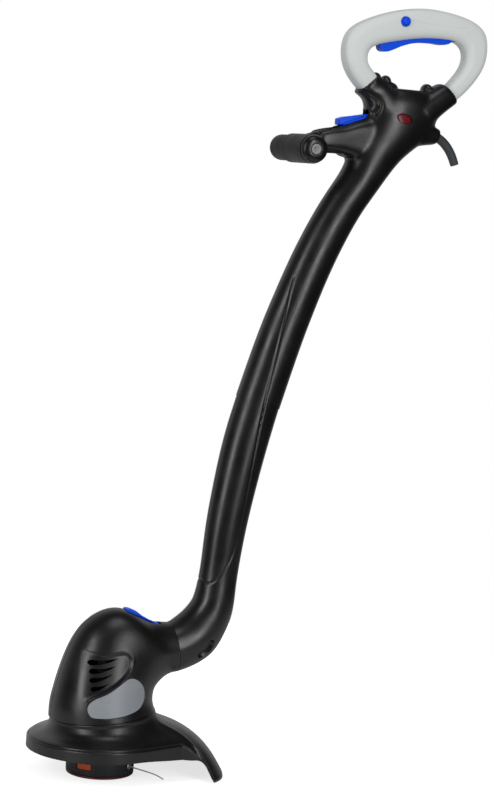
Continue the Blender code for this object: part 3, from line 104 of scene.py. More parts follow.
room = bpy.data.worlds.new("white_room")
room.use_nodes = True
bpy.context.scene.world = room
tree = room.node_tree
tree.nodes.clear()
ray = add(tree, "ShaderNodeLightPath")
way = add(tree, "ShaderNodeTexCoord")
facing = add(tree, "ShaderNodeSeparateXYZ", Vector=way.outputs["Generated"])
sweep = add(tree, "ShaderNodeMapRange", {"interpolation_type": "SMOOTHSTEP"}, Value=facing.outputs["Y"],
            From_Min=0.25, From_Max=1.0, To_Min=MIRRORED_FRONT, To_Max=MIRRORED_BACK)
mirrored = add(tree, "ShaderNodeMix", i0=ray.outputs["Is Glossy Ray"], i2=ROOM_FILL,
               i3=sweep.outputs["Result"])
seen = add(tree, "ShaderNodeMath", {"operation": "MAXIMUM"},
           i0=ray.outputs["Is Camera Ray"], i1=ray.outputs["Is Transmission Ray"])
strength = add(tree, "ShaderNodeMix", i0=seen.outputs[0], i2=mirrored.outputs[0], i3=1.0)
chosen = add(tree, "ShaderNodeBackground", Color=(1.0, 1.0, 1.0, 1.0), Strength=strength.outputs[0])
add(tree, "ShaderNodeOutputWorld", Surface=chosen.outputs[0])


def lamp(name, spot, target, width, height, power):
    """An upright soft box that faces a target point."""
    light = bpy.data.lights.new(name, "AREA")
    light.shape = "RECTANGLE"
    light.size = width
    light.size_y = height
    light.energy = power
    hung = placed(name, light)
    hung.location = spot
    hung.rotation_euler = (Vector(target) - Vector(spot)).to_track_quat("-Z", "Y").to_euler()


lamp("strip_left", (-1.92, -1.01, 1.05), TOOL_MIDDLE, width=0.5, height=2.0, power=23.0)
lamp("strip_right", (0.63, -2.23, 1.05), TOOL_MIDDLE, width=0.45, height=2.0, power=23.0)
lamp("soft_above", (0.1, -0.7, 2.7), (0.15, 0.0, 0.3), width=1.0, height=1.0, power=8.0)

ground = bmesh.new()
bmesh.ops.create_circle(ground, cap_ends=True, segments=96, radius=FLOOR_RADIUS)
bmesh.ops.translate(ground, vec=FLOOR_MIDDLE, verts=ground.verts)
ground_mesh = bpy.data.meshes.new("floor")
ground.to_mesh(ground_mesh)
ground.free()
floor = placed("floor", ground_mesh)
paper = bpy.data.materials.new("white_paper_floor")
paper.use_nodes = True
tree = paper.node_tree
tree.nodes.clear()
ray = add(tree, "ShaderNodeLightPath")
seen = add(tree, "ShaderNodeMath", {"operation": "MAXIMUM"},
           i0=ray.outputs["Is Camera Ray"], i1=ray.outputs["Is Transmission Ray"])
matt = add(tree, "ShaderNodeBsdfDiffuse", Color=lit("#e4e4e4"))
place = add(tree, "ShaderNodeTexCoord")
away = add(tree, "ShaderNodeVectorMath", {"operation": "LENGTH"}, i0=place.outputs["Object"])
fade = add(tree, "ShaderNodeMapRange", {"interpolation_type": "SMOOTHSTEP"}, Value=away.outputs["Value"],
           From_Min=0.30, From_Max=0.80, To_Min=FLOOR_GLOW[0], To_Max=FLOOR_GLOW[1])
shine = add(tree, "ShaderNodeEmission", Color=(1.0, 1.0, 1.0, 1.0), Strength=fade.outputs["Result"])
both = add(tree, "ShaderNodeAddShader", i0=matt.outputs[0], i1=shine.outputs[0])
mixed = add(tree, "ShaderNodeMixShader", i0=seen.outputs[0], i1=matt.outputs[0], i2=both.outputs[0])
add(tree, "ShaderNodeOutputMaterial", Surface=mixed.outputs[0])
floor.data.materials.append(paper)


# Motor housing
# Two black ABS shells, injection moulded in smooth-polished tools with a fine spark grain. They
# meet in the plane Y = 0 and carry four air slots a side in a sunk leaf-shaped panel.
HOUSING_WALL = 2.4
PANEL_DEPTH = 2.8
RIDGE_HEIGHT = 1.0                # of the bright lip round the panel
BROW_DEPTH = 0.9                  # of the dark line over it
LABEL_RECESS = 0.9
SPLIT = 0.15                      # each half stops this far from the parting plane, mm
RELEASE_HALF = 9.0                # half width of the release button
BUTTON_GAP = 0.6                  # between a button and the sides of its well
SEAM_ANGLES = (0.0, 0.008, 0.018, 0.032, 0.05)   # rows close to a seam, in radians from it
HOUSING_STATIONS = (              # front x, z; rear x, z; half width; all mm
    (-66.0, 69.6, 63.0, 81.2, 63.0),
    (-65.5, 86.0, 60.5, 90.0, 61.0),
    (-62.5, 103.0, 60.5, 99.0, 58.5),
    (-55.5, 131.0, 63.0, 107.0, 55.0),
    (-44.0, 162.0, 69.0, 113.5, 50.5),
    (-27.0, 186.5, 75.5, 118.0, 45.5),
    (-2.0, 201.0, 80.5, 120.3, 41.0),
    (24.0, 200.5, 84.0, 121.5, 37.0),
    (51.0, 188.0, 87.2, 122.2, 33.5),
    (80.0, 184.0, 90.0, 122.5, 31.2),
)
PANEL_OUTLINE = ((-38.0, 157.0), (-16.0, 155.0), (10.0, 157.8), (19.0, 149.0), (17.0, 138.0),
                 (6.0, 125.2), (-8.0, 115.0), (-26.0, 105.6), (-45.0, 99.2), (-47.0, 118.0), (-43.0, 140.0))
BROW_LINE = ((-38.5, 157.2), (-28.0, 155.8), (-14.0, 155.2), (-2.0, 156.2), (9.5, 158.4))
RIDGE_LINE = ((18.6, 151.6), (20.1, 146.6), (17.6, 138.4), (12.6, 131.4), (6.5, 124.7), (-1.7, 118.6),
              (-13.0, 111.5), (-26.5, 105.0), (-36.0, 101.0))
# Front and rear end of each air slot's middle line (x, z) and its height, mm.
SLOTS = ((-34.4, 144.5, 2.0, 150.2, 6.4), (-33.4, 134.4, -1.6, 141.2, 6.2),
         (-33.4, 124.0, -6.4, 131.8, 6.0), (-32.2, 113.8, -11.0, 121.2, 5.8))
BUTTON_WELL = ((20.0, 209.0), (20.0, 188.6), (33.0, 180.6), (46.8, 174.8), (63.4, 171.8), (67.6, 181.0),
               (67.6, 209.0))
LABEL_OUTLINE = ((-27.0, 80.5), (-3.0, 81.6), (20.4, 86.3), (32.6, 92.6), (37.4, 105.0), (32.2, 119.0),
                 (18.0, 127.0), (3.1, 120.3), (-13.5, 109.4), (-29.0, 102.0), (-36.6, 92.0), (-34.5, 83.5))


def faired(rows, at, closed=False):
    """Rows of numbers read off a fair curve, at places counted in rows.

    Between rows i and j = i+1, at share t, the value is (1-t) p_i + t p_j
    + ((1-t)^3 - (1-t)) m_i / 6 + (t^3 - t) m_j / 6. The bends m solve
    m_(i-1) + 4 m_i + m_(i+1) = 6 (p_(i-1) - 2 p_i + p_(i+1)), and are 0 at open ends.
    """
    rows = np.asarray(rows, float)
    flat = rows.reshape(len(rows), -1)
    count = len(flat)
    if closed:
        system = 4 * np.eye(count) + np.roll(np.eye(count), 1, 0) + np.roll(np.eye(count), -1, 0)
        turn = 6 * (np.roll(flat, 1, 0) - 2 * flat + np.roll(flat, -1, 0))
    else:
        system = 4 * np.eye(count) + np.eye(count, k=1) + np.eye(count, k=-1)
        system[0], system[-1] = np.eye(count)[0], np.eye(count)[-1]
        turn = np.zeros_like(flat)
        turn[1:-1] = 6 * (flat[:-2] - 2 * flat[1:-1] + flat[2:])
    bend = np.linalg.solve(system, turn)
    at = np.asarray(at, float)
    low = np.floor(at).astype(int)
    if not closed:
        low = np.clip(low, 0, count - 2)
    t = (at - low)[:, None]
    i, j = low % count, (low + 1) % count
    value = ((1 - t) * flat[i] + t * flat[j]
             + ((1 - t) ** 3 - (1 - t)) * bend[i] / 6 + (t ** 3 - t) * bend[j] / 6)
    return value.reshape((len(at),) + rows.shape[1:])


def fair_run(rows, count):
    """A fair curve through all the rows, read off at so many even steps from end to end."""
    return faired(rows, np.linspace(0, len(rows) - 1, count))


def fair_ring(outline, count):
    """A fair closed outline through all the points, read off at so many even steps."""
    return faired(outline, np.arange(count) * len(outline) / count, closed=True)


def casing_grid(stations, angles, side, fullness=1.0):
    """Skin of a casing, as rows of points in mm.

    At each station the section runs from the front point round to the rear point:
    middle + sgn(cos a) |cos a|^f half depth + side sgn(sin a) |sin a|^f half width. Angles a
    from 0 to pi give one half, and a full turn gives both.
    """
    middle, half = (stations[:, 0:2] + stations[:, 2:4]) / 2, (stations[:, 0:2] - stations[:, 2:4]) / 2
    c = np.sign(np.cos(angles)) * np.abs(np.cos(angles)) ** fullness
    d = np.sign(np.sin(angles)) * np.abs(np.sin(angles)) ** fullness
    x = middle[:, 0:1] + half[:, 0:1] * c
    z = middle[:, 1:2] + half[:, 1:2] * c
    return np.stack((x, side * stations[:, 4:5] * d, z), axis=2)


def outward(grid, closed=False):
    """Unit normals of a grid: the cross product of its two central differences.

    They are flipped as one so that on average they point away from the grid's row middles.
    """
    along = np.gradient(grid, axis=0)
    if closed:
        around = (np.roll(grid, -1, axis=1) - np.roll(grid, 1, axis=1)) / 2
    else:
        around = np.gradient(grid, axis=1)
    normal = np.cross(along, around)
    normal /= np.maximum(np.linalg.norm(normal, axis=2, keepdims=True), 1e-9)
    spine = grid.mean(axis=1, keepdims=True) * np.array((1.0, 0.0, 1.0))
    if np.sum(normal * (grid - spine)) < 0:
        normal = -normal
    return normal


def step(value, low, high):
    """Smooth step: 3t^2 - 2t^3 of the share t of the way from low to high."""
    t = np.clip((value - low) / (high - low), 0, 1)
    return t * t * (3 - 2 * t)


def bell(gap, width):
    """Bell curve of a distance: exp(-(gap / width)^2)."""
    return np.exp(-(gap / width) ** 2)


def line_gap(a, b, line):
    """Distance of each point (a, b) from a polyline: the least over its straight pieces."""
    line = np.asarray(line, float)
    least = np.full(np.shape(a), 1e9)
    for (ax, az), (bx, bz) in zip(line[:-1], line[1:]):
        dx, dz = bx - ax, bz - az
        t = np.clip(((a - ax) * dx + (b - az) * dz) / (dx * dx + dz * dz), 0, 1)
        least = np.minimum(least, np.hypot(a - ax - t * dx, b - az - t * dz))
    return least


def outline_depth(a, b, outline):
    """How far each point lies inside a fair closed outline, negative outside it."""
    ring = fair_ring(outline, 96)
    ring = np.vstack((ring, ring[:1]))
    inside = np.zeros(np.shape(a), bool)
    for (ax, az), (bx, bz) in zip(ring[:-1], ring[1:]):
        if az != bz:
            crossing = ((az > b) != (bz > b)) & (a < (bx - ax) * (b - az) / (bz - az) + ax)
            inside ^= crossing
    gap = line_gap(a, b, ring)
    return np.where(inside, gap, -gap)


def numbered(rows, columns, closed=True):
    """Vertex numbers of a grid. One that closes round repeats its first column at the end."""
    index = np.arange(rows * columns).reshape(rows, columns)
    return np.hstack((index, index[:, :1])) if closed else index


def woven(index):
    """The quads between neighbouring numbers of a grid."""
    quads = np.stack((index[:-1, :-1], index[:-1, 1:], index[1:, 1:], index[1:, :-1]), axis=2)
    return quads.reshape(-1, 4)


def walled(outer, normals, wall, closed=False):
    """Closed wall: the outer grid, the grid set back along the normals, and the rims between."""
    rows, columns = outer.shape[:2]
    inner = outer - normals * wall
    points = np.concatenate((outer.reshape(-1, 3), inner.reshape(-1, 3)))
    index = numbered(rows, columns, closed)
    quads = woven(index)
    back = rows * columns
    faces = [quads, quads[:, ::-1] + back]
    if closed:
        borders = (index[0], index[-1][::-1])
    else:
        borders = (np.concatenate((index[0, :-1], index[:-1, -1], index[-1, :0:-1], index[::-1, 0])),)
    for border in borders:
        here, there = border[:-1], border[1:]
        faces.append(np.stack((there, here, here + back, there + back), axis=1))
    return points, np.concatenate(faces)


def kept_aside(points, side):
    """Keeps every point on its own side of the parting plane, SPLIT mm away from it."""
    points[..., 1] = side * np.maximum(side * points[..., 1], SPLIT)
    return points


def piece(name, points, faces, sharp=32.0):
    """A mesh object from points in mm, with outward faces, smooth but for its sharp edges."""
    mesh = bpy.data.meshes.new(name)
    mesh.from_pydata((np.asarray(points) * 0.001).tolist(), [], [tuple(f) for f in faces])
    made = placed(name, mesh)
    work = bmesh.new()
    work.from_mesh(mesh)
    bmesh.ops.remove_doubles(work, verts=work.verts, dist=0.000002)
    bmesh.ops.dissolve_degenerate(work, edges=work.edges, dist=0.000001)
    bmesh.ops.recalc_face_normals(work, faces=work.faces)
    work.to_mesh(mesh)
    work.free()
    softened(made, sharp)
    return made


def half_shell(name, skin, normals, wall, side):
    """One casing half: the skin and its wall, kept on their own side of the parting plane."""
    points, faces = walled(kept_aside(skin, side), normals, wall)
    return piece(name + "_shell", kept_aside(points, side), faces)


def capped(name, grid):
    """A closed solid from rings of points, with a flat face over each end ring."""
    index = numbered(*grid.shape[:2])
    return piece(name, grid.reshape(-1, 3), [*woven(index), index[0, :-1], index[-1, :-1][::-1]])


def softened(made, sharp):
    """Smooth shading with sharp edges where faces meet at more than an angle in degrees."""
    made.data.shade_smooth()
    made.data.set_sharp_from_angle(angle=math.radians(sharp))


def settled(made, sharp):
    """Applies a piece's modifiers and shades it anew."""
    depsgraph = bpy.context.evaluated_depsgraph_get()
    mesh = bpy.data.meshes.new_from_object(made.evaluated_get(depsgraph))
    made.modifiers.clear()
    made.data = mesh
    softened(made, sharp)
    return made


def cutter(name, outline, y_low, y_high):
    """A straight prism on an outline (x, z) in mm, between two y."""
    ring = np.asarray(outline, float)
    return capped(name, np.stack([np.insert(ring, 1, y, axis=1) for y in (y_low, y_high)]))


def cut(made, tools, operation="DIFFERENCE", sharp=32.0):
    """Cuts a piece with closed tools, or joins them to it, and removes them."""
    for tool in tools:
        work = made.modifiers.new("cut", "BOOLEAN")
        work.operation = operation
        work.solver = "EXACT"
        work.object = tool
    settled(made, sharp)
    for tool in tools:
        bpy.data.objects.remove(tool, do_unlink=True)


def dressed(made, body, surface, slot, *nodes):
    """Gives a piece its material and its body, and hides the CAD nodes it stands for. The slot is not used.
    """
    made.data.materials.clear()
    made.data.materials.append(surface)
    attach(made, body)
    if nodes:
        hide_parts(*nodes)


def material(name):
    """A new material, its node tree, its Principled shader and its Object coordinates."""
    made = bpy.data.materials.new(name)
    made.use_nodes = True
    tree = made.node_tree
    return made, tree, tree.nodes["Principled BSDF"], add(tree, "ShaderNodeTexCoord").outputs["Object"]


def moulded(name, colour, dark, rough, grain=1.3, grain_lift=0.05, shine=0.5):
    """Injection moulded plastic.

    Its colour drifts a little between two tones over 36 mm, its gloss varies over 25 mm as on a
    handled tool, and a spark-eroded grain lifts the surface. The real grain is about 0.2 mm wide
    and is drawn grain mm wide, because a finer one can't show in the render.
    """
    made, tree, shader, where = material(name)
    cloud = add(tree, "ShaderNodeTexNoise", Vector=where, Scale=1000.0 / 35.7, Detail=3.0)
    tone = add(tree, "ShaderNodeMix", {"data_type": "RGBA"}, i0=cloud.outputs["Fac"],
               i6=lit(dark), i7=lit(colour))
    smear = add(tree, "ShaderNodeTexNoise", Vector=where, Scale=1000.0 / 25.0, Detail=4.0)
    gloss = add(tree, "ShaderNodeMapRange", Value=smear.outputs["Fac"], From_Min=0.3, From_Max=0.7,
                To_Min=rough - 0.05, To_Max=rough + 0.06)
    pits = add(tree, "ShaderNodeTexNoise", Vector=where, Scale=1000.0 / grain, Detail=2.0)
    lift = add(tree, "ShaderNodeBump", Strength=grain_lift, Distance=0.0004, Height=pits.outputs["Fac"])
    feed(shader, Base_Color=tone.outputs[2], Roughness=gloss.outputs["Result"],
         Normal=lift.outputs["Normal"], IOR=1.52, Specular_IOR_Level=shine)
    return made


# Deep black with broad soft highlights and a trace of grain in them.
black_abs = moulded("black_abs_moulded", "#0e0e0f", "#0a0a0b", 0.33, grain_lift=0.06, shine=0.55)


def seam_groove(grid, width=0.7, depth=0.35):
    """Depth of the shallow groove along the parting line: a bell curve over the distance."""
    return depth * bell(grid[..., 1], width)


def half_angles(count):
    """Angles from the front seam to the rear seam, close together at both seams."""
    middle = np.linspace(SEAM_ANGLES[-1], math.pi - SEAM_ANGLES[-1], count)
    ends = np.array(SEAM_ANGLES[:-1])
    return np.concatenate((ends, middle, math.pi - ends[::-1]))


def teardrop(x0, z0, x1, z1, height, count=26):
    """Outline of an air slot: a half circle in front, drawn out to a point at the rear.

    With n = 0.16 the half height is h sqrt(1 - (1 - t/n)^2) over the nose, then it falls as
    (1 - (t - n) / (1 - n))^0.75, on a middle line that sags by 1.8 mm.
    """
    t = np.linspace(0, 1, count)
    nose = 0.16
    front = np.sqrt(np.clip(1 - (1 - t / nose) ** 2, 0, 1)) * (t < nose)
    rear = (1 - (t - nose) / (1 - nose)) ** 0.75 * (t >= nose)
    half = height / 2 * (front + np.clip(rear, 0, 1))
    x = x0 + (x1 - x0) * t
    z = z0 + (z1 - z0) * t - 1.8 * np.sin(math.pi * t)
    upper = np.column_stack((x, z + half))
    lower = np.column_stack((x, z - half))[::-1]
    return np.vstack((upper, lower[1:-1]))


# Detail is pressed into the skin along its normals, as smooth steps and bells over the distance
# from the lines above. It fades out 24 to 14 mm from the middle plane, so the seam stays even.
ridge_line = fair_run(RIDGE_LINE, 65)
brow_line = fair_run(BROW_LINE, 33)
for side, name in ((-1.0, "motor_housing_left"), (1.0, "motor_housing_right")):
    skin = casing_grid(fair_run(HOUSING_STATIONS, 206), half_angles(196), side)
    normals = outward(skin)
    x, z = skin[..., 0], skin[..., 2]
    flank = step(np.abs(skin[..., 1]), 14.0, 24.0)
    shallow_ends = step(x, -47.0, -8.0) * step(z, 97.0, 108.0)
    press = PANEL_DEPTH * step(outline_depth(x, z, PANEL_OUTLINE), -0.2, 3.8) * shallow_ends
    press -= RIDGE_HEIGHT * bell(line_gap(x, z, ridge_line), 1.4) * step(154.0 - z, 0.0, 10.0)
    brow_ends = step(12.0 - x, 0.0, 9.0) * step(x, -41.0, -32.0)
    press += BROW_DEPTH * bell(line_gap(x, z, brow_line), 1.3) * brow_ends
    if side < 0:
        press += LABEL_RECESS * step(outline_depth(x, z, LABEL_OUTLINE), -0.75, -0.15)
    press = press * flank + seam_groove(skin)
    made = half_shell(name, skin - normals * press[..., None], normals, HOUSING_WALL, side)
    low, high = sorted((side * 20.0, side * 90.0))
    tools = [cutter("slot_%d" % number, teardrop(*slot), low, high) for number, slot in enumerate(SLOTS)]
    tools.append(cutter("button_well", BUTTON_WELL, -RELEASE_HALF - BUTTON_GAP, RELEASE_HALF + BUTTON_GAP))
    cut(made, tools)
    dressed(made, "head", black_abs, "black_plastic", name)


# Label plate
# A bare grey label, die cut from satin film 0.5 mm thick and glued into its recess in the left
# housing half. Its outline is the recess's, a hair smaller.
LABEL_SHARE = 0.985
FILM_THICKNESS = 0.5
FILM_DEPTH = 0.15                 # of the film's face under the housing's skin, mm


def satin_film(name, colour, edge):
    """Printed satin film: two close tones in a fine horizontal brushing 0.8 mm wide."""
    made, tree, shader, where = material(name)
    stretched = add(tree, "ShaderNodeMapping", Vector=where, Scale=(60.0, 60.0, 1000.0 / 0.8))
    brushing = add(tree, "ShaderNodeTexNoise", Vector=stretched.outputs["Vector"], Scale=1.0, Detail=2.0)
    tone = add(tree, "ShaderNodeMix", {"data_type": "RGBA"}, i0=brushing.outputs["Fac"],
               i6=lit(edge), i7=lit(colour))
    feed(shader, Base_Color=tone.outputs[2], Roughness=0.42, Specular_IOR_Level=0.4)
    return made


film_rows = faired(HOUSING_STATIONS, np.linspace(0.2, 3.9, 200))
film_skin = casing_grid(film_rows, np.linspace(0.62, 2.95, 240), -1.0)
film_normals = outward(film_skin)
film = piece("label_film", *walled(film_skin - film_normals * FILM_DEPTH, film_normals, FILM_THICKNESS))
label_ring = fair_ring(LABEL_OUTLINE, 140)
label_ring = label_ring.mean(axis=0) + (label_ring - label_ring.mean(axis=0)) * LABEL_SHARE
cut(film, [cutter("label_die", label_ring, -90.0, -20.0)], "INTERSECT")
# Even mid grey with a silky sheen.
grey_film = satin_film("grey_satin_label_film", "#8b9096", "#7d8288")
dressed(film, "head", grey_film, "label_foil", "label_plate")


# Blue buttons
# Glossy blue ABS, moulded: the head's release button on top of the dome and the front handle's
# wedge button. Each slides in its own well and keeps a thin gap all round.
HEAD_BUTTON_OUTLINE = ((22.0, 202.9), (28.0, 202.6), (35.5, 199.6), (44.8, 192.8), (55.0, 187.6),
                       (66.9, 183.3), (65.0, 176.2), (48.0, 178.8), (34.0, 185.0), (22.4, 192.0))
ARM_BUTTON_OUTLINE = ((265.2, 800.9), (265.2, 809.0), (273.0, 811.6), (284.0, 813.2), (296.0, 815.4),
                      (303.6, 816.6), (303.0, 812.5), (296.0, 806.7), (284.0, 803.8), (275.0, 801.4))
WEDGE_HALF = 8.0                  # half width of the front handle's button, mm


def bent(a, corner, b, t):
    """Quadratic curve from a to b round a corner v: (1-t)^2 a + 2 t (1-t) v + t^2 b."""
    return (1 - t) ** 2 * a + 2 * t * (1 - t) * corner + t ** 2 * b


def towards(start, end, reach):
    """The point that lies a reach in mm from start on the way to end."""
    return start + (end - start) / np.linalg.norm(end - start, axis=-1, keepdims=True) * reach


def eased(outline, radius, steps=5):
    """Closed outline with each corner bent: the curve starts and ends at the radius from the
    corner, or at 0.45 of the shorter edge if that is nearer.
    """
    v = np.asarray(outline, float)
    before, after = np.roll(v, 1, axis=0), np.roll(v, -1, axis=0)
    edges = np.linalg.norm(after - v, axis=1, keepdims=True)
    reach = np.minimum(radius, 0.45 * np.minimum(np.roll(edges, 1, axis=0), edges))
    a, b = towards(v, before, reach), towards(v, after, reach)
    return bent(a[:, None], v[:, None], b[:, None], np.linspace(0, 1, steps)[None, :, None]).reshape(-1, 2)


def pillow(name, outline, half, round_edge, crown):
    """A thick flat piece on an outline (x, z) across Y, with rounded long edges.

    At a distance |y| from its middle the outline shrinks by r - sqrt(r^2 - (|y| - h + r)^2)
    inside the last r mm, and by crown (y/h)^2 all the way across.
    """
    ring = np.asarray(outline, float)
    tangent = np.roll(ring, -1, axis=0) - np.roll(ring, 1, axis=0)
    tangent /= np.linalg.norm(tangent, axis=1, keepdims=True)
    area = np.sum(ring[:, 0] * np.roll(ring[:, 1], -1) - np.roll(ring[:, 0], -1) * ring[:, 1])
    inward = np.column_stack((-tangent[:, 1], tangent[:, 0])) * np.sign(area)
    straight = half - round_edge
    arc = straight + round_edge * np.sin(np.linspace(0, math.pi / 2, 7))
    y = np.concatenate((-arc[::-1], np.linspace(-straight, straight, 7)[1:-1], arc))
    edge = np.maximum(np.abs(y) - straight, 0)
    shrink = round_edge - np.sqrt(np.maximum(round_edge ** 2 - edge ** 2, 0)) + crown * (y / half) ** 2
    grid = ring[None] + inward[None] * shrink[:, None, None]
    across = np.broadcast_to(y[:, None], grid.shape[:2])
    return capped(name, np.stack((grid[..., 0], across, grid[..., 1]), axis=2))


# Strong even blue with small highlights.
blue_abs = moulded("blue_abs_glossy", "#0453ee", "#0344d0", 0.3, grain=1.6, grain_lift=0.03, shine=0.12)
head_button = pillow("head_release_button", eased(HEAD_BUTTON_OUTLINE, 2.2), RELEASE_HALF, 1.6, crown=0.5)
dressed(head_button, "head_lock", blue_abs, "blue_plastic", "head_button")
arm_button = pillow("front_handle_button", eased(ARM_BUTTON_OUTLINE, 1.6), WEDGE_HALF, 1.2, crown=0.3)
dressed(arm_button, "front_lock", blue_abs, "blue_plastic", "arm_button")


# Guard
# One black ABS moulding with an even wall: a flared skirt under the housing, a rim band round the
# line's circle, and a shield behind it that sweeps down to just above the ground.
GUARD_WALL = 2.6
FOOT_RADIUS = 64.2                # where the skirt leaves the housing, mm
FOOT_HEIGHT = 73.6                # of the skirt's foot, on the motor's axis
FOOT_SLOPE = 0.09                 # rise of the foot towards the rear
LEDGE_HEIGHT = 1.5                # of the ledge inside the housing, above the foot
LEDGE = ((0.86, 0.0), (0.97, 0.0), (0.985, 0.15), (0.997, 0.6))   # share of the foot's radius, drop
RIM_CORNER = 1.0                  # radius between the skirt and the rim band
RIM_DRAFT = 1.004                 # the band's lower edge is this many times as wide as its upper one
EVENING_ROUNDS = 60
GROOVE_GAP, GROOVE_DEPTH, GROOVE_HALF = 3.0, 0.9, 0.7   # the fine groove along the rim
LOWEST = 1.5                      # the shield's edge above the ground
# Way out and way down from the foot (0) to the rim (1), for the skirt and for the shield.
SKIRT_SHARES = ((0.0, 0.0), (0.14, 0.40), (0.44, 0.66), (0.78, 0.82), (1.0, 1.0))
SHIELD_SHARES = ((0.0, 0.0), (0.10, 0.14), (0.42, 0.29), (0.76, 0.59), (1.0, 1.0))
GUARD_COLUMNS = (                 # rim x, y, z; lip z; foot's direction in degrees; share of the shield
    (-91.0, 0.0, 45.0, 32.0, 180.0, 0.0),
    (-80.3, 42.7, 45.0, 32.0, 152.0, 0.0),
    (-50.9, 75.4, 45.0, 32.0, 124.0, 0.0),
    (-11.1, 90.3, 45.0, 32.0, 97.0, 0.0),
    (28.0, 84.5, 45.0, 32.0, 70.0, 0.0),
    (57.0, 74.6, 45.0, 29.8, 54.0, 0.05),
    (82.3, 66.0, 45.0, 28.0, 42.0, 0.25),
    (94.3, 68.3, 37.7, 27.2, 36.0, 0.5),
    (105.0, 70.5, 29.0, 25.6, 31.5, 0.75),
    (113.5, 75.5, 18.5, 14.5, 27.5, 0.9),
    (120.5, 79.0, 4.6, 1.6, 25.0, 1.0),
    (139.5, 55.0, 4.6, 1.6, 15.0, 1.0),
    (151.0, 0.0, 4.6, 1.6, 0.0, 1.0),
)
NOTCH, TIP = 6, 10                # columns at which the rim turns a corner


def guard_ring():
    """Rim columns all the way round: four fair curves that meet at the notches and the tips.

    On the other side y and the foot's direction change their sign.
    """
    near = np.array(GUARD_COLUMNS)
    other_side = (1.0, -1.0, 1.0, 1.0, -1.0, 1.0)
    far = near * other_side
    front = np.vstack((far[NOTCH:0:-1], near[:NOTCH + 1]))
    front[:NOTCH, 4] += 360.0
    flank = fair_run(near[NOTCH:TIP + 1], 44)
    rear = np.vstack((near[TIP:], far[-2:TIP - 1:-1]))
    return np.vstack((fair_run(front, 150)[:-1], flank[:-1], fair_run(rear, 70)[:-1],
                      (flank[::-1] * other_side)[:-1]))


# The rows of the guard's skin run from the ledge inside the housing down the flare to the rim,
# round its corner and down the rim band to the lip.
ring = guard_ring()
foot_turn = np.radians(ring[:, 4])
foot = FOOT_RADIUS * np.column_stack((np.cos(foot_turn), np.sin(foot_turn)))
foot_z = FOOT_HEIGHT + FOOT_SLOPE * foot[:, 0]
share = 4 * (1 - (1 - np.linspace(0, 1, 76)) ** 1.15)   # rows lie closer together near the rim
skirt, shield = faired(SKIRT_SHARES, share), faired(SHIELD_SHARES, share)
out, down = (skirt[:, i:i + 1] + (shield[:, i:i + 1] - skirt[:, i:i + 1]) * ring[:, 5] for i in (0, 1))
flare = np.stack((foot[:, 0] + (ring[:, 0] - foot[:, 0]) * out,
                  foot[:, 1] + (ring[:, 1] - foot[:, 1]) * out,
                  foot_z - (foot_z - ring[:, 2]) * down), axis=2)
rim, lip = flare[-1], np.column_stack((ring[:, :2] * RIM_DRAFT, ring[:, 3]))
corner = np.minimum(RIM_CORNER, 0.3 * (ring[:, 2] - ring[:, 3]))[:, None]
turn = bent(towards(rim, flare[-4], corner), rim, towards(rim, lip, corner),
            np.linspace(0, 1, 7)[:, None, None])
drop = turn[-1] + (lip - turn[-1]) * np.linspace(0, 1, 9)[1:, None, None]
reach, sink = np.array(LEDGE).T[..., None]
ledge = np.stack((foot[:, 0] * reach, foot[:, 1] * reach,
                  FOOT_HEIGHT + LEDGE_HEIGHT + FOOT_SLOPE * foot[:, 0] * reach - sink), axis=2)
rim_gap = np.linalg.norm(flare - rim, axis=2)
kept = int((rim_gap > 1.1 * corner[:, 0]).all(axis=1).sum())
grid = np.concatenate((ledge, flare[:kept], turn, drop))

# Neighbouring columns are evened out, most of all half way up the skirt, so that it has no creases.
flared = slice(len(ledge), len(ledge) + kept)
evened = np.zeros(len(grid))
evened[flared] = np.clip(1 - share[:kept] / 3.4, 0, 1) * step(share[:kept], 0, 0.4)
for _ in range(EVENING_ROUNDS):
    level = (np.roll(grid, 1, axis=1) + np.roll(grid, -1, axis=1)) / 2
    grid = grid + (level - grid) * 0.5 * evened[:, None, None]
normals = outward(grid, closed=True)
grid[flared] -= normals[flared] * (GROOVE_DEPTH * bell(rim_gap[:kept] - GROOVE_GAP, GROOVE_HALF))[..., None]
points, faces = walled(grid, normals, GUARD_WALL, closed=True)
points[:, 2] = np.maximum(points[:, 2], LOWEST)
guard = piece("guard_moulding", points, faces, sharp=50.0)
# The same ABS with a slightly coarser, duller grain.
guard_abs = moulded("black_abs_guard", "#0e0e0f", "#0a0a0b", 0.35, grain=1.4, grain_lift=0.08, shine=0.5)
dressed(guard, "head", guard_abs, "black_plastic", "guard")


# Line head
# Black nylon cup and dark red bottom cap, both moulded and turned about the motor shaft, with two
# orange latches in windows, two pressed steel eyelets and the nylon cutting line.
SPOOL_RADIUS = 41.5
EYELET_TURNS = (math.radians(-50.0), math.radians(130.0))
EYELET_HEIGHT = 14.0
LATCH_TURNS = (math.radians(222.5), math.radians(42.5))
LATCH_HEIGHT = 14.4
LATCH_HALF_WIDE, LATCH_HALF_TALL = 9.6, 3.6
LINE_START = 39.5                 # radius at which the line leaves the reel, mm
LINE_REACH, LINE_SWING = 43.24, 13.0   # of the line's tip, outwards and sideways
LINE_THICK = 0.0015               # m


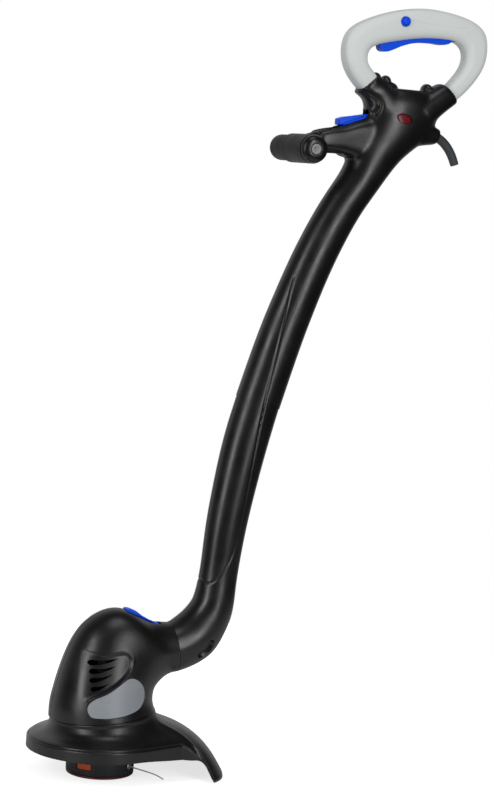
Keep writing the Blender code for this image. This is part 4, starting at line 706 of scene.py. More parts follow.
def spun(name, profile, count, axis=(0.0, 0.0, 1.0), origin=(0.0, 0.0, 0.0)):
    """A turned piece: a closed profile (radius, height) carried round an axis.

    Point = origin + r (cos a u + sin a v) + h axis, where u and v are square to the axis. A
    profile that starts and ends at radius 0 is closed over the axis.
    """
    profile = np.asarray(profile, float)
    w = np.array(Vector(axis).normalized())
    u = np.array(Vector(w).orthogonal().normalized())
    v = np.cross(w, u)
    a = np.arange(count) * math.tau / count
    circle = np.cos(a)[:, None] * u + np.sin(a)[:, None] * v
    grid = np.array(origin) + profile[:, 0, None, None] * circle[None] + profile[:, 1, None, None] * w
    index = numbered(len(profile), count)
    if profile[0, 0] > 1e-6:
        index = np.vstack((index, index[:1]))
    return piece(name, grid.reshape(-1, 3), woven(index))


def on_axis(profile, radius):
    """Profile with eased corners whose two ends stay on the axis."""
    soft = eased(profile, radius)[2:-2]
    soft[0], soft[-1] = profile[0], profile[-1]
    return soft


def spoke(turn):
    """Unit vector square to the motor's axis."""
    return np.array((math.cos(turn), math.sin(turn), 0.0))


cup_profile = eased(((4.2, 46.0), (9.0, 46.0), (10.0, 32.0), (37.5, 29.0), (SPOOL_RADIUS, 26.0),
                     (SPOOL_RADIUS, 3.7), (39.1, 3.7), (39.1, 25.0), (35.5, 26.6), (4.2, 26.6)), 0.9, 4)
cup = spun("line_cup", cup_profile, 160)
window_outline = ((34.0, 10.4), (48.0, 10.4), (48.0, 18.4), (34.0, 18.4))
bore_profile = ((0.0, 33.0), (3.0, 33.0), (3.0, 50.0), (0.0, 50.0))
tools = []
for number in range(2):
    window = cutter("window_%d" % number, window_outline, -10.0, 10.0)
    window.data.transform(Matrix.Rotation(LATCH_TURNS[number], 4, "Z"))
    bore = spun("eyelet_bore_%d" % number, bore_profile, 24, spoke(EYELET_TURNS[number]),
                (0.0, 0.0, EYELET_HEIGHT))
    tools += [window, bore]
cut(cup, tools)
# Blue-black and duller than the casings, with a coarse grain from its glass fibres.
nylon_black = moulded("black_glass_filled_nylon", "#1d2123", "#16191b", 0.44, grain_lift=0.12, shine=0.4)
dressed(cup, "spool", nylon_black, "spool_plastic", "spool_housing")

cap_profile = ((0.0, 3.4), (40.7, 3.4), (SPOOL_RADIUS, 2.4), (40.9, 0.8), (39.1, 0.0), (0.0, 0.0))
cap = spun("line_cap", on_axis(cap_profile, 0.5), 160)
# Wine red, nearly matt.
red_nylon = moulded("dark_red_nylon_cap", "#5a1c20", "#4a1518", 0.42, grain=1.4, grain_lift=0.08)
dressed(cap, "spool", red_nylon, "dark_red_plastic", "spool_cap")

# Burnt orange with a soft shine.
orange_abs = moulded("orange_abs_latch", "#b8430f", "#a2380b", 0.36, grain=1.4, grain_lift=0.04)

# Each latch is a curved pad whose face falls away within a millimetre of its edges. Upright ribs
# 2.4 mm apart stand 0.15 mm proud of it.
for number, latch_turn in enumerate(LATCH_TURNS):
    wide = np.linspace(-LATCH_HALF_WIDE, LATCH_HALF_WIDE, 41)
    tall = np.linspace(-LATCH_HALF_TALL, LATCH_HALF_TALL, 25)[:, None]
    edge = 0.5 * np.maximum(np.abs(wide) - LATCH_HALF_WIDE + 1.0, 0) ** 2
    brim = 0.8 * np.maximum(np.abs(tall) - LATCH_HALF_TALL + 0.8, 0) ** 2
    ribs = 0.15 * np.clip(np.cos(wide * 2.6), 0, 1) * (np.abs(tall) < 2.4)
    radius = SPOOL_RADIUS - 0.25 - edge - brim + ribs
    spread = latch_turn + wide / SPOOL_RADIUS
    out_of = np.stack(np.broadcast_arrays(np.cos(spread), np.sin(spread), 0.0 * tall), axis=2)
    face = out_of * radius[..., None] + np.array((0.0, 0.0, 1.0)) * (LATCH_HEIGHT + tall)[..., None]
    latch = piece("cap_latch_pad_%d" % (number + 1), *walled(face, out_of, 3.4))
    dressed(latch, "cap_latch_" + "ab"[number], orange_abs, "orange_plastic", "cap_latch_%d" % (number + 1))


def metal(name, colour, rough, scratch_mm):
    """Bare steel: fine lathe marks as a bump, and gloss that drifts over about 6 mm."""
    made, tree, shader, where = material(name)
    marks = add(tree, "ShaderNodeTexNoise", Vector=where, Scale=1000.0 / scratch_mm, Detail=3.0)
    lift = add(tree, "ShaderNodeBump", Strength=0.08, Distance=0.0002, Height=marks.outputs["Fac"])
    cloud = add(tree, "ShaderNodeTexNoise", Vector=where, Scale=1000.0 / 6.25)
    gloss = add(tree, "ShaderNodeMapRange", Value=cloud.outputs["Fac"],
                To_Min=rough - 0.06, To_Max=rough + 0.08)
    feed(shader, Base_Color=lit(colour), Metallic=1.0, Roughness=gloss.outputs["Result"],
         Normal=lift.outputs["Normal"])
    return made


# Bright cool steel with small sharp glints.
steel = metal("zinc_plated_steel_turned", "#b9bbbd", 0.3, 0.9)
collar = eased(((1.25, 42.6), (3.4, 42.6), (4.3, 41.9), (4.3, 41.4), (2.7, 41.3), (2.7, 38.3),
                (1.25, 38.3)), 0.35)
for number, eyelet_turn in enumerate(EYELET_TURNS, 1):
    eyelet = spun("eyelet_%d" % number, collar, 48, spoke(eyelet_turn), (0.0, 0.0, EYELET_HEIGHT))
    dressed(eyelet, "spool", steel, "steel", "line_eyelet_%d" % number)

# The line leaves the near eyelet, springs out level and droops to its cut tip. At share t of its
# way it lies LINE_REACH t out, LINE_SWING t^2 aside and 7.4 t^1.15 + 4.9 t^6 mm down.
t = np.linspace(0, 1, 25)[:, None]
line_route = (spoke(EYELET_TURNS[0]) * (LINE_START + LINE_REACH * t)
              + spoke(EYELET_TURNS[0] + math.pi / 2) * LINE_SWING * t ** 2
              + np.array((0.0, 0.0, 1.0)) * (EYELET_HEIGHT - 7.4 * t ** 1.15 - 4.9 * t ** 6)) * 0.001
line_curve = bpy.data.curves.new("cutting_line_nylon", "CURVE")
line_curve.dimensions = "3D"
line_curve.bevel_depth = LINE_THICK / 2
line_curve.bevel_resolution = 3
line_curve.use_fill_caps = True
strand = line_curve.splines.new("POLY")
strand.points.add(len(line_route) - 1)
strand.points.foreach_set("co", np.hstack((line_route, np.ones((len(line_route), 1)))).ravel())
line_piece = placed("cutting_line_nylon", line_curve)
# Milky grey, slightly glossy.
line_nylon = moulded("clear_grey_nylon_monofilament", "#a9a9a2", "#8f8f88", 0.34, grain=1.2)
dressed(line_piece, "spool", line_nylon, "nylon_line", "cutting_line")


# Lower shaft
# Elbow and tube in two black ABS halves. The elbow turns in the housing's neck, and a shallow
# crease runs down both flanks to the front of the elbow.
LOWER_WALL = 2.4
DIMPLE_DEPTH = 4.4
DIMPLE_LEAN = math.radians(-42.0)
ELBOW_DIMPLE = (121.4, 154.6, 5.4, 13.0)       # middle a, b; half width and half height, mm
LOWER_STATIONS = (                # front x, z; rear x, z; half width; mm
    (80.45, 184.05, 90.45, 122.6, 31.2),
    (85.2, 186.3, 109.2, 128.6, 31.0),
    (91.0, 190.5, 134.6, 143.6, 30.0),
    (99.5, 197.5, 150.8, 167.4, 28.2),
    (107.5, 206.5, 160.4, 193.2, 26.2),
    (113.2, 219.0, 163.8, 221.2, 24.6),
)
# Stations of the straight tubes: middle x, z; half depth; lean in degrees.
LOWER_AXIS = ((142.5, 250.0, 24.0, 5.5), (147.4, 295.0, 25.2, 8.0), (155.5, 346.0, 26.6, 10.5),
              (167.5, 405.0, 27.9, 13.5), (181.9, 459.6, 27.7, 16.3))
UPPER_AXIS = ((181.09, 456.83, 28.6, 16.3), (202.5, 526.0, 28.3, 18.3), (223.2, 584.0, 27.5, 21.0),
              (246.5, 640.5, 26.8, 24.5), (275.6, 697.0, 26.0, 30.0))
CREASE_LINE = ((209.4, 613.7), (203.0, 578.0), (197.6, 548.6), (190.6, 511.7), (180.6, 460.0),
               (173.0, 410.7), (166.0, 362.0), (159.0, 315.6), (154.0, 288.0), (146.3, 263.6),
               (134.0, 245.0), (120.4, 235.4), (105.6, 241.9))


def seen_from_left(grid):
    """Where a surface point shows in the side picture, shifted to the plane 25 mm off the middle.

    a = x + 0.397 (|y| - 25) and b = z + 0.1175 (25 - |y|), the same on both sides of the tool.
    """
    off = np.abs(grid[..., 1]) - 25.0
    return grid[..., 0] + 0.397 * off, grid[..., 2] - 0.1175 * off


def leaning(axis_stations):
    """Casing stations of a tube: middle -+ (cos l, -sin l) half depth for a lean l.

    The tube is 0.93 times as wide as it is deep.
    """
    x, z, half, lean = np.array(axis_stations).T
    dx, dz = np.cos(np.radians(lean)) * half, np.sin(np.radians(lean)) * half
    return np.column_stack((x - dx, z + dz, x + dx, z - dz, half * 0.93))


def crease(grid, depth=0.8, width=1.2):
    """Depth of the decorative crease: a bell curve over the distance from its line."""
    a, b = seen_from_left(grid)
    return depth * bell(line_gap(a, b, fair_run(CREASE_LINE, 60)), width)


lower_stations = fair_run(np.vstack((LOWER_STATIONS, leaning(LOWER_AXIS))), 330)
for side, name in ((-1.0, "lower_shaft_left"), (1.0, "lower_shaft_right")):
    skin = casing_grid(lower_stations, half_angles(80), side)
    normals = outward(skin)
    a, b = seen_from_left(skin)
    ax, az, half_wide, half_high = ELBOW_DIMPLE
    across = ((a - ax) * math.cos(DIMPLE_LEAN) + (b - az) * math.sin(DIMPLE_LEAN)) / half_wide
    upward = ((b - az) * math.cos(DIMPLE_LEAN) - (a - ax) * math.sin(DIMPLE_LEAN)) / half_high
    press = seam_groove(skin) + crease(skin) + DIMPLE_DEPTH * step(1.1 - np.hypot(across, upward), 0.0, 0.2)
    made = half_shell(name, skin - normals * press[..., None], normals, LOWER_WALL, side)
    dressed(made, "shaft", black_abs, "black_plastic", name)


# Loop handle
# Two hollow light grey ABS halves with satin faces, clamped in the body's collars. The trigger's
# slot is underneath, and the left half has the lock button's hole and a fine styling line.
LOOP_HALF = 14.0
LOOP_DEPTH = 17.0                 # half depth for spacing the angles, mm
LOOP_SQUARE = 0.60                # exponent of the section: less than 1 is squarer than an ellipse
LOOP_WALL = 2.6
LOOP_STATIONS = (                 # outer x, z; inner x, z; mm
    (309.5, 834.0, 322.5, 849.0),
    (291.0, 847.2, 309.6, 866.7),
    (275.2, 865.8, 300.6, 877.0),
    (267.6, 888.5, 298.6, 888.0),
    (273.0, 915.0, 304.0, 897.5),
    (298.0, 932.5, 318.5, 903.2),
    (334.0, 944.6, 343.0, 908.3),
    (371.0, 950.0, 370.5, 912.5),
    (404.8, 947.7, 397.5, 913.5),
    (436.0, 940.4, 418.0, 911.3),
    (456.4, 926.5, 428.8, 904.0),
    (461.6, 906.5, 432.0, 893.5),
    (458.8, 886.0, 429.2, 881.5),
    (445.5, 863.0, 419.5, 867.5),
    (424.0, 841.0, 405.0, 852.0),
    (405.5, 830.5, 394.0, 840.5),
)
STYLING_LINE = ((342.4, 936.5), (356.0, 932.6), (371.9, 930.4), (395.9, 928.5), (416.0, 928.4),
                (430.8, 928.5))
LOCK_SPOT = (343.6, 932.0)        # middle of the lock button, x and z
LOCK_HOLE = 6.55                  # radius of its hole; its own is 6.2
TRIGGER_SLOT = ((313.0, 885.0), (416.0, 885.0), (416.0, 922.6), (313.0, 922.6))
TRIGGER_HALF, TRIGGER_SLOT_HALF = 7.5, 8.1   # half widths of the trigger and of its slot


def even_angles(count, fullness, depth, width):
    """Angles at even steps along one half of a section, and at 0.3, 0.7 and 1.2 mm from the seams.

    A point at width y near a seam has the angle (y / width)^(1/f).
    """
    a = np.linspace(0, math.pi, 6001)
    x = depth * np.sign(np.cos(a)) * np.abs(np.cos(a)) ** fullness
    y = width * np.abs(np.sin(a)) ** fullness
    run = np.concatenate(((0.0,), np.cumsum(np.hypot(np.diff(x), np.diff(y)))))
    evenly = np.interp(np.linspace(0, run[-1], count), run, a)
    seam = (np.array((0.3, 0.7, 1.2)) / width) ** (1 / fullness)
    return np.unique(np.concatenate((evenly, seam, math.pi - seam)))


def rod(name, x, z, radius, y_low, y_high, count=48):
    """A closed cylinder across Y, used as a cutting tool."""
    return spun(name, ((0.0, y_low), (radius, y_low), (radius, y_high), (0.0, y_high)), count,
                (0.0, 1.0, 0.0), (x, 0.0, z))


def satin(name, colour, shade, rough, mottle_mm, grain_lift=0.04):
    """Satin moulded plastic with an eroded texture.

    The tone drifts by a few steps over mottle_mm, the skin has a fine even grain drawn 1.2 mm wide
    because the real 0.3 mm can't show, and the gloss varies where hands have polished it.
    """
    made, tree, shader, where = material(name)
    drift = add(tree, "ShaderNodeTexNoise", Vector=where, Scale=1000.0 / mottle_mm, Detail=2.0)
    tone = add(tree, "ShaderNodeMix", {"data_type": "RGBA"}, i0=drift.outputs["Fac"],
               i6=lit(shade), i7=lit(colour))
    worn = add(tree, "ShaderNodeTexNoise", Vector=where, Scale=1000.0 / 45.5, Detail=3.0)
    gloss = add(tree, "ShaderNodeMapRange", Value=worn.outputs["Fac"], From_Min=0.3, From_Max=0.7,
                To_Min=rough - 0.07, To_Max=rough + 0.05)
    grit = add(tree, "ShaderNodeTexVoronoi", Vector=where, Scale=1000.0 / 1.205)
    lift = add(tree, "ShaderNodeBump", Strength=grain_lift, Distance=0.0003, Height=grit.outputs["Distance"])
    feed(shader, Base_Color=tone.outputs[2], Roughness=gloss.outputs["Result"],
         Normal=lift.outputs["Normal"], Specular_IOR_Level=0.35)
    return made


# Pale warm grey with a soft, nearly matt face.
light_grey_abs = satin("light_grey_abs_satin", "#cfd3d1", "#c6cac8", 0.46, 40.0)
loop_angles = even_angles(62, LOOP_SQUARE, LOOP_DEPTH, LOOP_HALF)
loop_rows = np.column_stack((LOOP_STATIONS, np.full(len(LOOP_STATIONS), LOOP_HALF)))
styling = fair_run(STYLING_LINE, 50)
for side, name in ((-1.0, "handle_loop_left"), (1.0, "handle_loop_right")):
    skin = casing_grid(fair_run(loop_rows, 480), loop_angles, side, LOOP_SQUARE)
    normals = outward(skin)
    spine = (skin[:, :1] + skin[:, -1:]) / 2
    normals *= np.sign(np.sum(normals * (skin - spine), axis=(1, 2)))[:, None, None]
    press = seam_groove(skin, 0.6, 0.4)
    tools = [cutter("trigger_slot", TRIGGER_SLOT, -TRIGGER_SLOT_HALF, TRIGGER_SLOT_HALF)]
    if side < 0:
        on_flank = np.abs(skin[..., 1]) > 9.0
        press += 0.35 * bell(line_gap(skin[..., 0], skin[..., 2], styling), 0.8) * on_flank
        tools.append(rod("lock_hole", *LOCK_SPOT, LOCK_HOLE, -30.0, -4.0))
    made = half_shell(name, skin - normals * press[..., None], normals, LOOP_WALL, side)
    cut(made, tools)
    dressed(made, "shaft", light_grey_abs, "grey_plastic", name)


# Handle body
# Upper shaft, T head and fork in two black ABS halves. The parts of the head flow into each other,
# flared collars hold the loop, and a curved groove, a boss and five knuckles are moulded on.
BODY_WALL = 2.6
BODY_STATIONS = (                 # front x, z; rear x, z; half width; mm
    (277.0, 748.0, 322.0, 720.5, 26.0),
    (286.5, 776.0, 350.0, 758.0, 27.0),
    (293.5, 797.0, 375.0, 780.0, 28.5),
    (300.0, 815.0, 391.5, 798.0, 29.0),
    (304.0, 829.0, 400.0, 815.0, 27.0),
    (311.0, 841.5, 401.0, 832.0, 24.0),
    (324.0, 850.5, 392.0, 848.5, 16.0),
)
LEFT_COLLAR = ((318.0, 806.0, 352.0, 838.0, 25.0), (304.0, 822.0, 335.0, 851.0, 22.0),
               (299.6, 833.0, 325.0, 859.2, 18.6), (287.0, 842.4, 313.4, 866.8, 18.6))
RIGHT_COLLAR = ((388.0, 806.0, 362.0, 836.0, 26.0), (407.0, 822.5, 386.0, 852.0, 22.0),
                (425.8, 836.8, 402.6, 860.6, 18.6))
CORD_LUG = ((370.0, 812.0, 362.0, 778.0, 18.0), (390.0, 807.0, 383.0, 781.5, 15.0),
            (405.6, 803.4, 400.2, 783.6, 11.8))
CHEEKS = ((318.0, 815.0, 318.0, 752.0, 22.5), (294.0, 810.0, 285.0, 760.0, 21.4),
          (272.0, 802.0, 268.0, 765.0, 21.0), (258.0, 799.0, 257.5, 766.5, 20.8),
          (246.0, 796.6, 247.2, 767.2, 20.2), (235.6, 793.6, 238.4, 768.5, 19.0))
KNUCKLES = (                      # middle x, z; half width, half height; mm
    (313.2, 861.4, 6.4, 7.0), (327.2, 857.2, 6.6, 8.2), (333.0, 849.6, 11.0, 8.2),
    (384.2, 850.4, 7.2, 8.0), (400.4, 850.6, 8.6, 8.2))
KNUCKLE_DEEP = 11.0               # their half size across the tool
GROOVE_LINE = ((290.0, 843.5), (294.0, 843.0), (303.8, 839.3), (311.6, 833.2), (313.6, 825.4), (309.0, 817.7))
BOSS_SPOT = (305.8, 821.6)
ARM_HINGE = (283.0, 781.0)
HINGE_BORE, HINGE_HALF = 3.1, 18.65   # radius and half length of the pin's bore, mm
BARREL_RADIUS, BARREL_HALF = 19.0, 13.0   # of the front handle's barrel, half width
FORK_RADIUS, FORK_HALF = 19.9, 13.6   # of the slot that the barrel turns in
SOCKET_GAP, SOCKET_WIDER = 0.3, 0.35   # room round the loop, and more room across the tool
ARM_BUTTON_WELL = ((255.0, 798.6), (275.0, 798.9), (284.0, 801.0), (297.0, 804.0), (303.8, 810.0),
                   (305.2, 822.0), (255.0, 822.0))
LENS_SPOT = (343.6, 813.0)
LENS_HALVES = (10.4, 6.2)
LENS_LEAN = math.radians(-15.0)
BOOT_PATH = ((398.0, 795.5), (404.5, 792.0), (411.5, 787.3), (418.0, 780.8), (423.3, 773.3), (427.2, 765.6),
             (429.6, 759.8))


def bulk(name, stations, count=60, around=96, fullness=1.0):
    """A closed solid through stations, with the casing's section on both sides."""
    angles = np.arange(around) * math.tau / around
    return capped(name, casing_grid(fair_run(stations, count), angles, 1.0, fullness))


def pebble(name, centre, halves):
    """An ellipsoid with three half axes in mm."""
    turn = np.linspace(-math.pi / 2, math.pi / 2, 17)
    made = spun(name, np.column_stack((np.cos(turn), np.sin(turn))), 32)
    made.data.transform(Matrix.Diagonal((*halves, 1.0)))
    made.data.transform(Matrix.Translation(Vector(centre) * 0.001))
    return made


def fused(name, solids, cell, rounds):
    """One skin round overlapping solids, with filleted joints.

    The solids are rebuilt on a grid of cells in mm. Then every vertex moves half way to the mean
    of its neighbours, as often as rounds says, and the fillets grow with each round.
    """
    work = bmesh.new()
    for solid in solids:
        work.from_mesh(solid.data)
        bpy.data.objects.remove(solid, do_unlink=True)
    mesh = bpy.data.meshes.new(name)
    work.to_mesh(mesh)
    work.free()
    made = placed(name, mesh)
    skin = made.modifiers.new("skin", "REMESH")
    skin.mode = "VOXEL"
    skin.voxel_size = cell * 0.001
    fillet = made.modifiers.new("fillet", "SMOOTH")
    fillet.factor = 0.5
    fillet.iterations = rounds
    return settled(made, sharp=40.0)


def pressed(made, depth):
    """Moves every vertex in along its normal by depth(points in mm), also in mm."""
    mesh = made.data
    count = len(mesh.vertices)
    spots, normals = np.empty(count * 3), np.empty(count * 3)
    mesh.vertices.foreach_get("co", spots)
    mesh.vertex_normals.foreach_get("vector", normals)
    spots, normals = spots.reshape(-1, 3) * 1000, normals.reshape(-1, 3)
    spots -= normals * depth(spots)[:, None]
    mesh.vertices.foreach_set("co", (spots * 0.001).ravel())
    mesh.update()
    return made


def body_depth(spots):
    """Depth of the body's moulded detail: grooves as bell curves, bosses as negative ones."""
    x, y, z = spots.T
    flank = step(np.abs(y), 7.0, 12.0)
    depth = 2.5 * bell(line_gap(x, z, fair_run(GROOVE_LINE, 40)), 2.3) * flank
    depth -= 1.3 * bell(np.hypot(x - BOSS_SPOT[0], z - BOSS_SPOT[1]), 3.317) * flank
    depth += crease(spots, 0.6, 1.4) * step(640.0 - z, 0.0, 20.0)
    depth += seam_groove(spots, 0.9) * step(866.0 - z, 0.0, 8.0)
    return depth


# The upper shaft starts 9 mm below its first station and is then cut square to its lean.
lean = math.radians(UPPER_AXIS[0][3])
ahead = np.array((math.sin(lean), math.cos(lean)))
across = np.array((ahead[1], -ahead[0]))
upper_rows = leaning(UPPER_AXIS)
body_rows = np.vstack((upper_rows[0] - 9.0 * np.array((*ahead, *ahead, 0.0)), upper_rows, BODY_STATIONS))
solids = [bulk("body_bulk", body_rows, 220), bulk("left_collar", LEFT_COLLAR, fullness=0.85),
          bulk("right_collar", RIGHT_COLLAR, fullness=0.85), bulk("cord_lug", CORD_LUG, fullness=0.85),
          bulk("arm_cheeks", CHEEKS, fullness=0.65)]
rough = fused("body_rough", solids, cell=1.5, rounds=34)
knuckles = [pebble("knuckle", (x, 0.0, z), (wide, KNUCKLE_DEEP, tall)) for x, z, wide, tall in KNUCKLES]
body = pressed(fused("body_skin", [rough] + knuckles, cell=1.2, rounds=3), body_depth)
body_form = BVHTree.FromPolygons([v.co for v in body.data.vertices], [p.vertices for p in body.data.polygons])

# What is cut out of the body: the loop's sockets, the shaft's end, the fork with its hinge, the
# button's well, the hollow and the passage for the cord.
socket_rows = loop_rows + np.array((0.0, 0.0, 0.0, 0.0, SOCKET_WIDER))
socket = bulk("loop_socket", socket_rows, 200, 72, LOOP_SQUARE)
tools = [pressed(socket, lambda spots: np.full(len(spots), -SOCKET_GAP))]
shaft_end = [np.array(UPPER_AXIS[0][:2]) + across * u + ahead * v
             for u, v in ((-45, 0), (45, 0), (45, -30), (-45, -30))]
tools.append(cutter("shaft_end", shaft_end, -60.0, 60.0))
fork = [(266.0, 798.23), (265.0, 805.0), (237.0, 805.0), (237.0, 751.0), (273.5, 751.0)]
fork += [(ARM_HINGE[0] + FORK_RADIUS * math.cos(a), ARM_HINGE[1] + FORK_RADIUS * math.sin(a))
         for a in np.radians(np.arange(-114.0, 121.0, 9.0))]
tools.append(cutter("fork", fork, -FORK_HALF, FORK_HALF))
tools.append(rod("hinge_bore", *ARM_HINGE, HINGE_BORE, -HINGE_HALF, HINGE_HALF))
tools.append(cutter("button_well", ARM_BUTTON_WELL, -WEDGE_HALF - BUTTON_GAP, WEDGE_HALF + BUTTON_GAP))
hollow = body_rows[:-1].copy()
inwards = towards(hollow[:, 0:2], hollow[:, 2:4], BODY_WALL) - hollow[:, 0:2]
hollow += np.hstack((inwards, -inwards, np.full((len(hollow), 1), -BODY_WALL)))
tools.append(bulk("body_hollow", hollow, 120, 64))
boot_start = np.array((BOOT_PATH[0][0], 0.0, BOOT_PATH[0][1]))
boot_axis = towards(np.zeros(3), np.array((BOOT_PATH[1][0], 0.0, BOOT_PATH[1][1])) - boot_start, 1.0)
passage = ((0.0, -20.0), (6.1, -20.0), (6.1, -4.3), (8.3, -4.3), (8.3, 1.3), (6.1, 1.3), (6.1, 30.0),
           (0.0, 30.0))
tools.append(spun("cord_passage", passage, 48, boot_axis, boot_start))
cut(body, tools, sharp=40.0)


def oval(scale):
    """Outline of the lens: an ellipse leaning by LENS_LEAN, scaled about its middle."""
    turn = np.arange(72) * math.tau / 72
    u, v = LENS_HALVES[0] * scale * np.cos(turn), LENS_HALVES[1] * scale * np.sin(turn)
    return np.column_stack((LENS_SPOT[0] + u * math.cos(LENS_LEAN) - v * math.sin(LENS_LEAN),
                            LENS_SPOT[1] + u * math.sin(LENS_LEAN) + v * math.cos(LENS_LEAN)))


# Each half is the body with all that lies past its own side of the parting plane cut away.
body_room = ((100.0, 430.0), (480.0, 430.0), (480.0, 900.0), (100.0, 900.0))
for side, name in ((-1.0, "body_left"), (1.0, "body_right")):
    half = placed(name + "_shell", body.data.copy())
    tools = [cutter("other_side", body_room, *sorted((side * SPLIT, side * -90.0)))]
    if side < 0:
        tools.append(cutter("lens_window", oval(1.0), -60.0, -15.0))
    cut(half, tools, sharp=40.0)
    dressed(half, "shaft", black_abs, "black_plastic", name)
bpy.data.objects.remove(body, do_unlink=True)


# Trigger and lock button
# The trigger is a solid blue ABS lever on a steel pin, with a finger bulb in front. The lock is a
# round blue push button in the loop's left face.
TRIGGER_OUTLINE = ((314.2, 903.5), (314.6, 897.5), (318.0, 894.2), (324.5, 893.8), (332.0, 896.6),
                   (344.0, 902.2), (356.0, 906.0), (370.0, 908.0), (386.0, 908.2), (400.0, 906.8),
                   (409.0, 909.0), (414.5, 914.0), (414.5, 920.6), (403.0, 921.4), (397.0, 917.4),
                   (372.0, 916.8), (340.0, 913.6), (318.0, 909.5))
TRIGGER_HINGE = (409.0, 917.5)
# Half section of the lock button: a domed plunger in a raised ring, on a wider foot.
LOCK_PROFILE = ((0.0, 18.1), (3.3, 17.9), (4.2, 16.9), (4.5, 15.6), (5.0, 15.6), (5.5, 16.3), (6.2, 15.7),
                (6.2, 7.8), (7.2, 7.8), (7.2, 6.4), (0.0, 6.4))

solid = cutter("trigger_solid", eased(TRIGGER_OUTLINE, 4.0), -TRIGGER_HALF, TRIGGER_HALF)
trigger = fused("trigger_lever", [solid], cell=0.6, rounds=7)
cut(trigger, [rod("trigger_eye", *TRIGGER_HINGE, 2.1, -12.0, 12.0)])
dressed(trigger, "trigger_lever", blue_abs, "blue_plastic", "trigger")

lock = spun("lock_push_button", on_axis(LOCK_PROFILE, 0.4), 72, (0.0, -1.0, 0.0),
            (LOCK_SPOT[0], 0.0, LOCK_SPOT[1]))
dressed(lock, "trigger_lock", blue_abs, "blue_plastic", "lock_button")


# Front handle
# Arm, barrel and grip core are one grained black moulding. A far sleeve and a glossy near cap are
# pulled on to it by a bolt under a grey plug.
ARM_STATIONS = ((280.0, 797.0, 280.0, 764.5, 12.6), (262.0, 796.4, 262.5, 766.0, 12.6),
                (244.0, 793.4, 245.0, 764.6, 12.6), (227.0, 788.5, 228.0, 760.5, 12.4),
                (214.0, 785.0, 214.5, 757.0, 12.0))
GRIP_SPOT = (215.0, 770.0)
GRIP_RADIUS = 17.8
FAR_RADIUS = 16.0
GRIP_STEP = 16.0                  # the near part of the grip ends at this y, mm
GRIP_NEAR = -50.0
GRIP_FAR = 62.0
GRIP_GAP = 0.3                    # between the moulding and the sleeve and cap on it
BOLT_BORE = 3.2
SLEEVE_END = 18.0                 # length of the far sleeve's solid end


def along_grip(name, profile, base, ease):
    """A turned piece on the grip's axis: heights run outwards from y = base, away from y = 0."""
    soft = eased(profile, ease) if profile[0][0] > 0 else on_axis(profile, ease)
    return spun(name, soft, 96, (0.0, math.copysign(1.0, base), 0.0), (GRIP_SPOT[0], base, GRIP_SPOT[1]))


arm = bulk("arm_bulk", ARM_STATIONS, 60, 80, 0.62)
barrel = rod("arm_barrel", *ARM_HINGE, BARREL_RADIUS, -BARREL_HALF, BARREL_HALF, 96)
core_profile = ((0.0, GRIP_NEAR), (GRIP_RADIUS, GRIP_NEAR), (GRIP_RADIUS, GRIP_STEP), (0.0, GRIP_STEP))
core = spun("grip_core", on_axis(core_profile, 1.0), 120, (0.0, 1.0, 0.0), (GRIP_SPOT[0], 0.0, GRIP_SPOT[1]))
arm = fused("front_arm_moulding", [arm, barrel, core], cell=0.8, rounds=5)
cut(arm, [rod("hinge_eye", *ARM_HINGE, HINGE_BORE, -40.0, 40.0),
          rod("bolt_bore", *GRIP_SPOT, BOLT_BORE, -80.0, 80.0)], sharp=40.0)
# Charcoal black, dull and grainy to the eye, with almost no highlight.
grip_abs = moulded("grained_black_grip", "#101011", "#0c0c0d", 0.46, grain_lift=0.05, shine=0.14)
dressed(arm, "front_handle", grip_abs, "grip_plastic", "front_arm")

# The sleeve ends in a low dome, and the bolt's bore stops short of it.
dome = np.radians(np.arange(75.0, -1.0, -15.0))
sleeve_long = GRIP_FAR - GRIP_STEP - GRIP_GAP
sleeve_profile = [(0.0, sleeve_long)]
sleeve_profile += [(FAR_RADIUS * math.cos(a), sleeve_long - FAR_RADIUS * (1 - math.sin(a)) * 0.8)
                   for a in dome]
sleeve_profile += [(FAR_RADIUS, 0.0), (BOLT_BORE, 0.0), (BOLT_BORE, sleeve_long - SLEEVE_END),
                   (0.0, sleeve_long - SLEEVE_END)]
sleeve = along_grip("grip_far_sleeve_moulding", sleeve_profile, GRIP_STEP + GRIP_GAP, 0.8)
dressed(sleeve, "front_handle", grip_abs, "grip_plastic", "grip_far_sleeve")

# Polished black with a clear ring of light round its edge.
gloss_black = moulded("black_abs_polished", "#0d0d0e", "#0a0a0b", 0.3, grain=2.2, grain_lift=0.01, shine=0.5)
near_profile = ((6.9, 9.3), (8.8, 9.15), (11.6, 8.4), (14.4, 6.7), (16.4, 4.0), (17.3, 0.0),
                (BOLT_BORE, 0.0), (BOLT_BORE, 3.0), (6.9, 3.0))
near_cap = along_grip("grip_near_cap_moulding", near_profile, GRIP_NEAR - GRIP_GAP, 0.8)
dressed(near_cap, "front_handle", gloss_black, "gloss_black", "grip_near_cap")

# Mid grey, waxy and dull.
plug_grey = satin("grey_polypropylene_plug", "#8a8a8a", "#7c7c7c", 0.42, 6.0)
plug_profile = ((0.0, 1.6), (1.6, 1.8), (2.9, 3.0), (4.2, 3.6), (5.6, 3.5), (6.5, 2.8), (6.5, 0.0),
                (0.0, 0.0))
plug = along_grip("grip_plug_cap", plug_profile, GRIP_NEAR - 6.3, 0.5)
dressed(plug, "front_handle", plug_grey, "plug_plastic", "grip_plug")


# Indicator lens
# A dark red clear acrylic oval, set 1 mm into the left half, with fine prisms behind its polished
# face. Its window's edge stays as a dark rim.
LENS_THICK = 1.9
LENS_DEPTH = 1.0                  # of its face under the body's skin, mm


